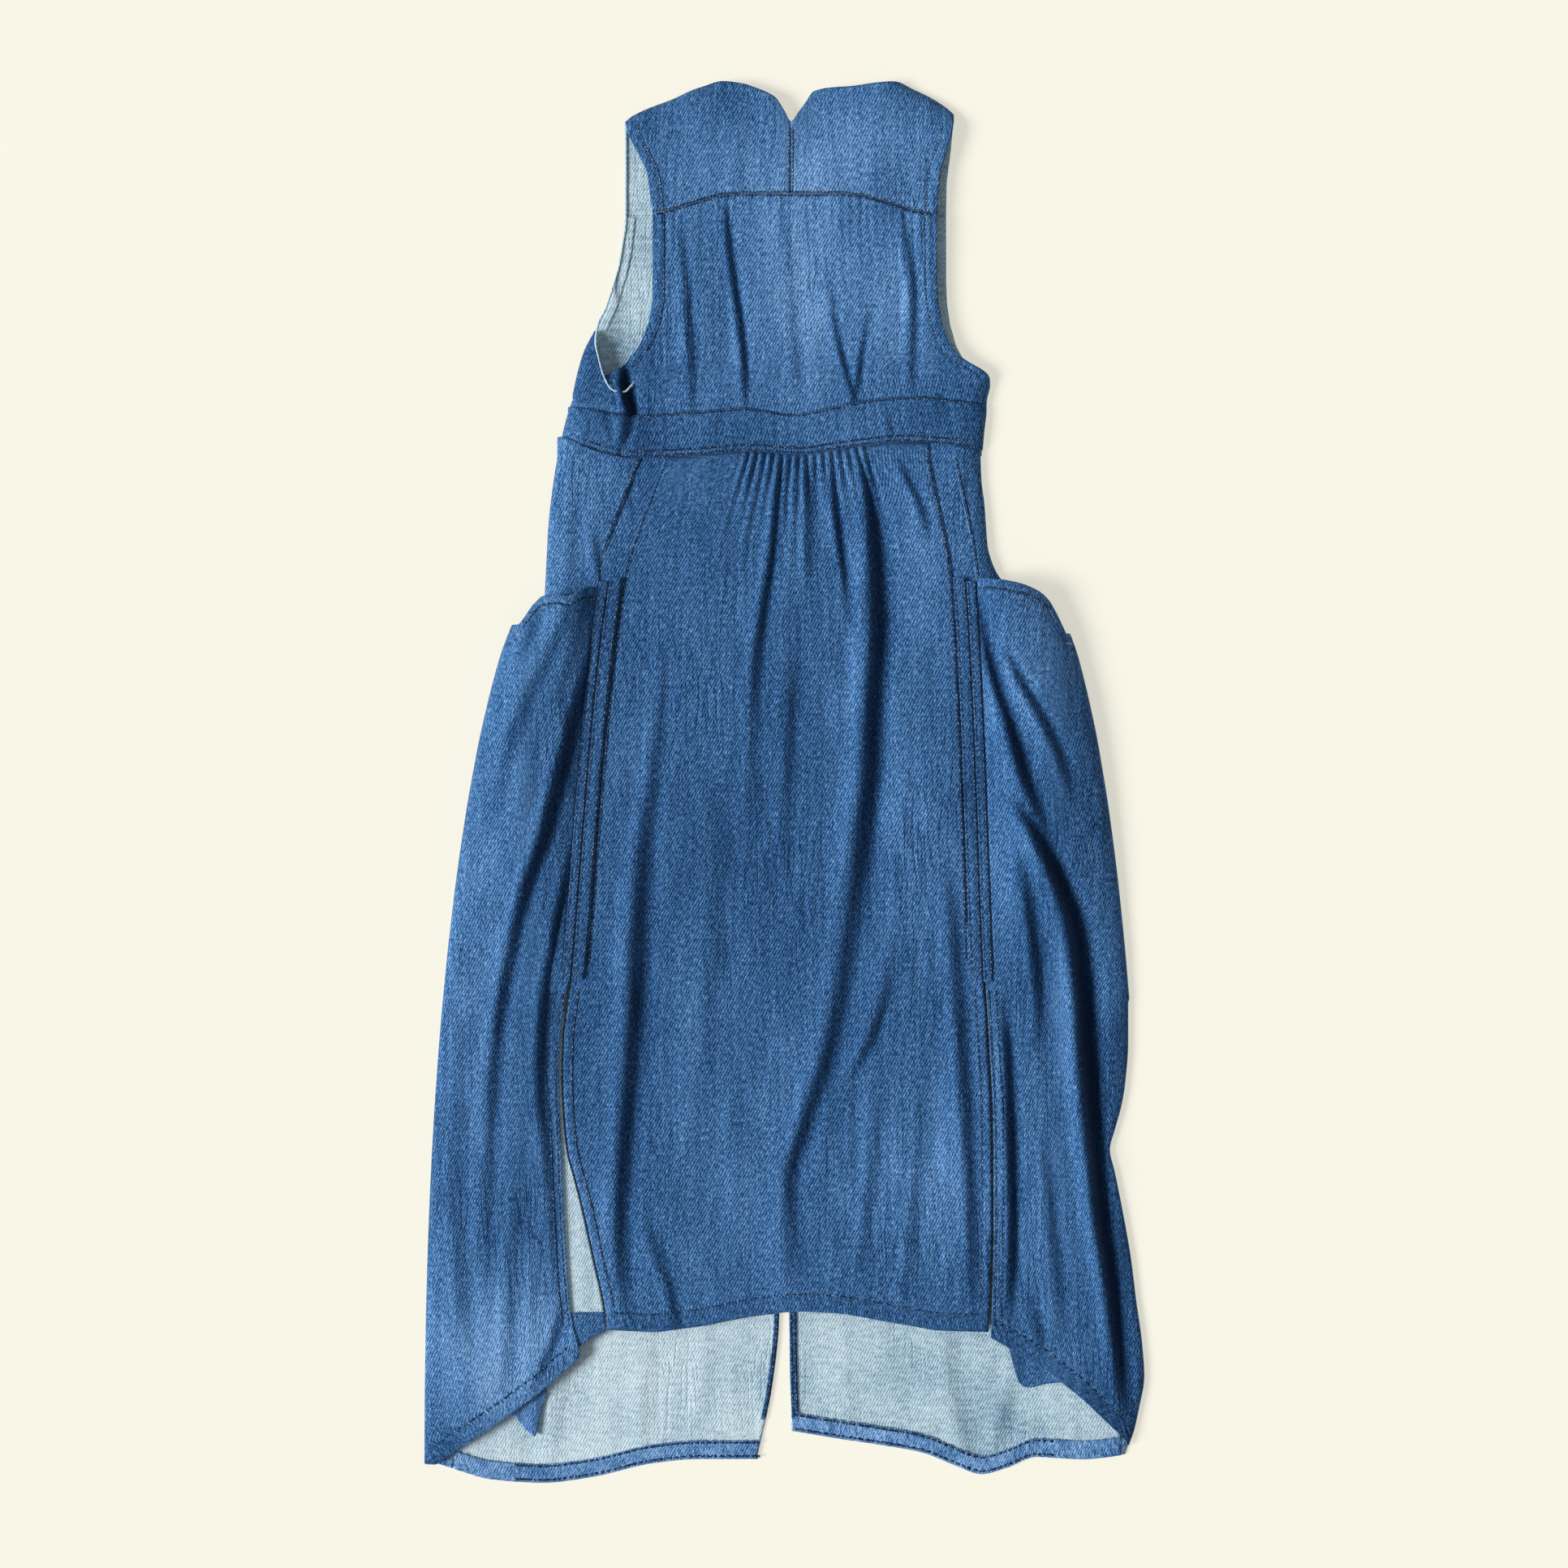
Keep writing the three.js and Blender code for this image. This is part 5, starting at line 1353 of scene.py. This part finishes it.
# %% Back of the garment
BACK_FOLDS = {
    "left": [[(-500, -60, 0, 12), (-560, -72, 0.5, 12), (-640, -80, 0, 12)],
             [(-480, -190, 0, 14), (-570, -205, 0.9, 14), (-650, -215, 0, 14)],
             [(-500, -120, 0, 10), (-570, -128, 0.5, 11), (-640, -130, 0, 11)]],
    "right": [[(-490, 150, 0, 10), (-550, 158, 0.9, 12), (-600, 168, 1.2, 12), (-645, 186, 0, 12)],
              [(-500, 60, 0, 12), (-570, 66, 0.4, 12), (-620, 70, 0, 12)],
              [(-540, 215, 0, 10), (-590, 205, 1.0, 10), (-640, 196, 0, 10)]],
}


def back_height(side, s):
    own = LINES[side]

    def height(x, y):
        """The table's height, one layer up over the wrap's seam, and ripples above it where nothing lies on top."""
        seam = own["wrap_seam"](y)
        over = np.clip((s * x - seam + 17) / 11, 0, 1) * np.clip((MOUTH_Y + 34 - y) / 30, 0, 1)
        free = ease((-470 - y) / 50)
        soft = folds(x, y, BACK_FOLDS[side])[0] + 0.5 + crinkle(x, y, 101, 0.6) + 0.15 * ripple(x, y, 60, 5, 103)
        hem = y - BACK_HEM[side](x)
        soft = soft + 1.2 * hem_pucker(x, y, hem, 19)
        return BACK_Z + 0.85 * over + free * np.maximum(soft, 0)
    return height


for side, s in SIDES:
    own, height = LINES[side], back_height(side, s)
    flat = lambda x, y: BACK_Z + 0.12 * (1 + ripple(x, y, 12, 40, 104))
    for name, stem, outer, low, high in (
            ("back_yoke_cloth", "back_yoke", own["back_yoke_end"], moved(YOKE_SEAM, 0.03),
             lambda x: NECK_EDGE(x) - 4 * (1 - ease((np.abs(x) - NECK_REACH[side]) / 15))),
            ("back_bodice_cloth", "back_bodice", own["back_armhole"], level(BAND_TOP + 0.2), moved(YOKE_SEAM, -0.03)),
            ("back_band_cloth", "back_band", own["back_band_end"], level(BAND_FOOT + 0.2), level(BAND_TOP - 0.2))):
        x, y, z = grid(*between(s, own["back_inner"], outer), low, high, flat, step=3.4)
        part = shell(f"{name}_{side}", x, y, z, wrong_up=True, fade=wrong_side_tone(x, y))
        put(part, "garment", [f"{stem}_{side}"], held="laid", rests_on=["floor"])
    x, y, z = grid(*between(s, own["back_inner"], own["back_outer"]), BACK_HEM[side], level(BAND_FOOT - 0.2), height,
                   step=4.2)
    # painted shade along each fold's steep flank, over the wrong side's tone
    shade = wrong_side_tone(x, y) - 1.6 * folds(x, y, BACK_FOLDS[side])[1]
    skirt = shell(f"back_skirt_cloth_{side}", x, y, z, wrong_up=True, fade=shade)
    put(skirt, f"back_tail_{side}", [f"back_skirt_{side}", f"back_tail_{side}"], held="laid", rests_on=["floor"])
    x, y, z = grid(*between(s, moved(own["back_inner"], 0.8), own["back_outer"]), moved(BACK_HEM[side], 0.3),
                   moved(BACK_HEM[side], 17.5), lambda x, y: height(x, y) + LAYER - 0.3, step=2.6)
    hem = shell(f"back_hem_turned_{side}", x, y, z, material=TRIM, fade=0.9 + 0.35 * ripple(x, y, 9, 9, 106))
    put(hem, f"back_tail_{side}", [f"back_skirt_hem_{side}", f"back_tail_hem_{side}"], held="laid",
        rests_on=[skirt.name])
    low, high = (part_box(f"back_facing_{side}")[k].y / MM for k in (0, 1))
    width = 7 if side == "right" else 5
    x, y, z = grid(*between(s, moved(own["back_inner"], 0.5), moved(own["back_inner"], width)), level(BACK_HEM_Y + 60),
                   level(high), lambda x, y: height(x, y) + LAYER - 0.3, step=3)
    facing = shell(f"back_facing_cloth_{side}", x, y, z, material=TRIM)
    put(facing, f"back_tail_{side}", [f"back_facing_{side}"], held="laid", rests_on=[skirt.name])

# %% [markdown]
# ## Rows of stitches
# All the topstitching, region by region, each region moving with its cloth: armholes and yoke, the band's twin rows,
# the seams beside the gores, both edges of every stitched band, the hems, the slits and the back's facings.

# %% Rows of stitches
bodice_rows, yoke_rows = [], []
for side, s in SIDES:
    own = LINES[side]
    bodice_rows.append(upright(own["armhole"], UNDERARM_Y + 12, YOKE_Y - 20, s, 10.5))
    yoke_rows.append(upright(own["yoke_armhole"], YOKE_Y - 18, NECK_Y - 38, s, 10.5))
    yoke_rows.append(upright(own["yoke_middle"], YOKE_Y + 2, NECK_Y - 44, s, -1.6))
bodice_rows.append(level_row(YOKE_SEAM, -118, 136, -2.2))
yoke_rows.append(level_row(YOKE_SEAM, -118, 136, 1.6))
put(stitching("stitching_bodice", bodice_rows, bodice_height), "garment")
put(stitching("stitching_yoke", yoke_rows, yoke_height, cord=SEAM_THREAD), "garment")
band_rows = [level_row(BAND_UPPER, -180, 170, -2.4), level_row(BAND_LOWER, -186, 172, 2),
             level_row(BAND_LOWER, -186, 172, 6)]
put(stitching("stitching_band", band_rows, band_height), "garment")
skirt_rows = [level_row(FRONT_HEM, -158, 182, 16)]
for side, s in SIDES:
    own = LINES[side]
    skirt_rows.append(upright(own["princess"], SLIT_Y + 18, BAND_FOOT - 1, s, 2.4))
    skirt_rows.append(upright(own["flap"], HEM_Y + 24, SLIT_Y - 6, s, 8))
put(stitching("stitching_front_skirt", skirt_rows, skirt_height), "front_flap")
for side, s in SIDES:
    own = LINES[side]
    for stem, inner, outer, low, high in (
            ("slit_band", own["band_inner"], own["band_outer"], SLIT_Y + 3, MOUTH_Y + 2),
            ("placket", own["placket_inner"], own["placket_outer"], SLIT_Y + 2, MOUTH_Y - 1)):
        rows = [upright(inner, low, high, s, -1.8), upright(outer, low, high, s, 1.8)]
        for step in (4, 9):
            y = np.full(12, low + step)
            rows.append((s * np.linspace(inner(y)[0] + 1.8, outer(y)[0] - 1.8, 12), y))
        put(stitching(f"stitching_{stem}_{side}", rows, strip_height(inner, outer, s, BAND_Z, 1.3)), "garment")
    put(stitching(f"stitching_side_seam_{side}", [upright(own["panel_inner"], MOUTH_Y + 6, BAND_FOOT - 2, s, -2.2)],
                  panel_height(side, s)), "garment")
    height, top = drape_height(side, s), mouth_top(side)
    gathered = gathered_mouth(side, s, height)
    start, end = float(own["drape_inner"](np.array([170.0]))[0]) + 3, float(own["outline"](np.array([160.0]))[0]) - 6
    x = s * np.linspace(start, end, 90)
    put(stitching(f"stitching_pocket_mouth_{side}", [(x, top(x) - 8.0)], gathered), "garment")
    foot = {"left": (200, 322), "right": (194, 316)}[side]
    x = s * np.linspace(*foot, 120)
    rows = [(x, own["drape_hem"](x) + 19)]
    for inset in (-2.6, -9):
        rows.append(upright(own["slit"], HEM_Y + 6, SLIT_Y - 8, s, inset))
    put(stitching(f"stitching_drape_{side}", rows, height), f"drape_corner_{side}")
    back = back_height(side, s)
    over = lambda x, y: back(x, y) + LAYER - 0.3
    inner = float(own["back_inner"](np.array([BACK_HEM_Y + 50]))[0]) + 3
    x = s * np.linspace(inner, 250, 150)
    rows = [(x, BACK_HEM[side](x) + 15.5), (x, BACK_HEM[side](x) + 3)]
    rows.append(upright(own["back_inner"], BACK_HEM_Y + 62, NECK_Y - 50, s, -2.2, 260))
    if side == "right":
        rows.append(upright(own["back_inner"], BACK_HEM_Y + 62, NECK_Y - 50, s, -5.6, 260))
    put(stitching(f"stitching_back_{side}", rows, over), f"back_tail_{side}")

# %% [markdown]
# ## Hooks
# Two small wire hooks close the back at the neck and at the band. Their shape in the model is right, so they only
# get their finish.

# %% Hooks
for name in ("neck_hook", "band_hook"):
    nodes[name].data.materials.clear()
    nodes[name].data.materials.append(WIRE)
    print(name, "finished in", WIRE.name)

# %% [markdown]
# ## Flat sizes
# Every sheet's size as cut is measured along the cloth as built, folds and all, and printed. A hem or facing
# narrower than 10 mm, or so curved that it fills under three tenths of its rectangle, isn't a sheet that a width and
# a length describe. It is listed instead with the sheet that it is sewn to, and printed as lying on it.

# %% Flat sizes
NARROWEST, LEAST_SHARE = 0.010, 0.3
for name, sheet in SHEETS.items():
    size = PIECES[name]
    sheet["share"] = size["area"] / (size["width"] * size["length"])
    sheet["trim"] = min(size["width"], size["length"]) < NARROWEST or sheet["share"] < LEAST_SHARE
    if sheet["trim"]:
        SHEETS[sheet["rests_on"][0]]["on_it"].append(sheet["piece"])
for name, sheet in SHEETS.items():
    size = PIECES[name]
    measured = f"{size['width']:.4f} x {size['length']:.4f} m, area {size['area']:.5f}, share {sheet['share']:.3f}"
    if sheet["trim"]:
        print(f"{name}: on {sheet['rests_on'][0]}, {measured}")
        continue
    print(f"{name}: flat {measured}")
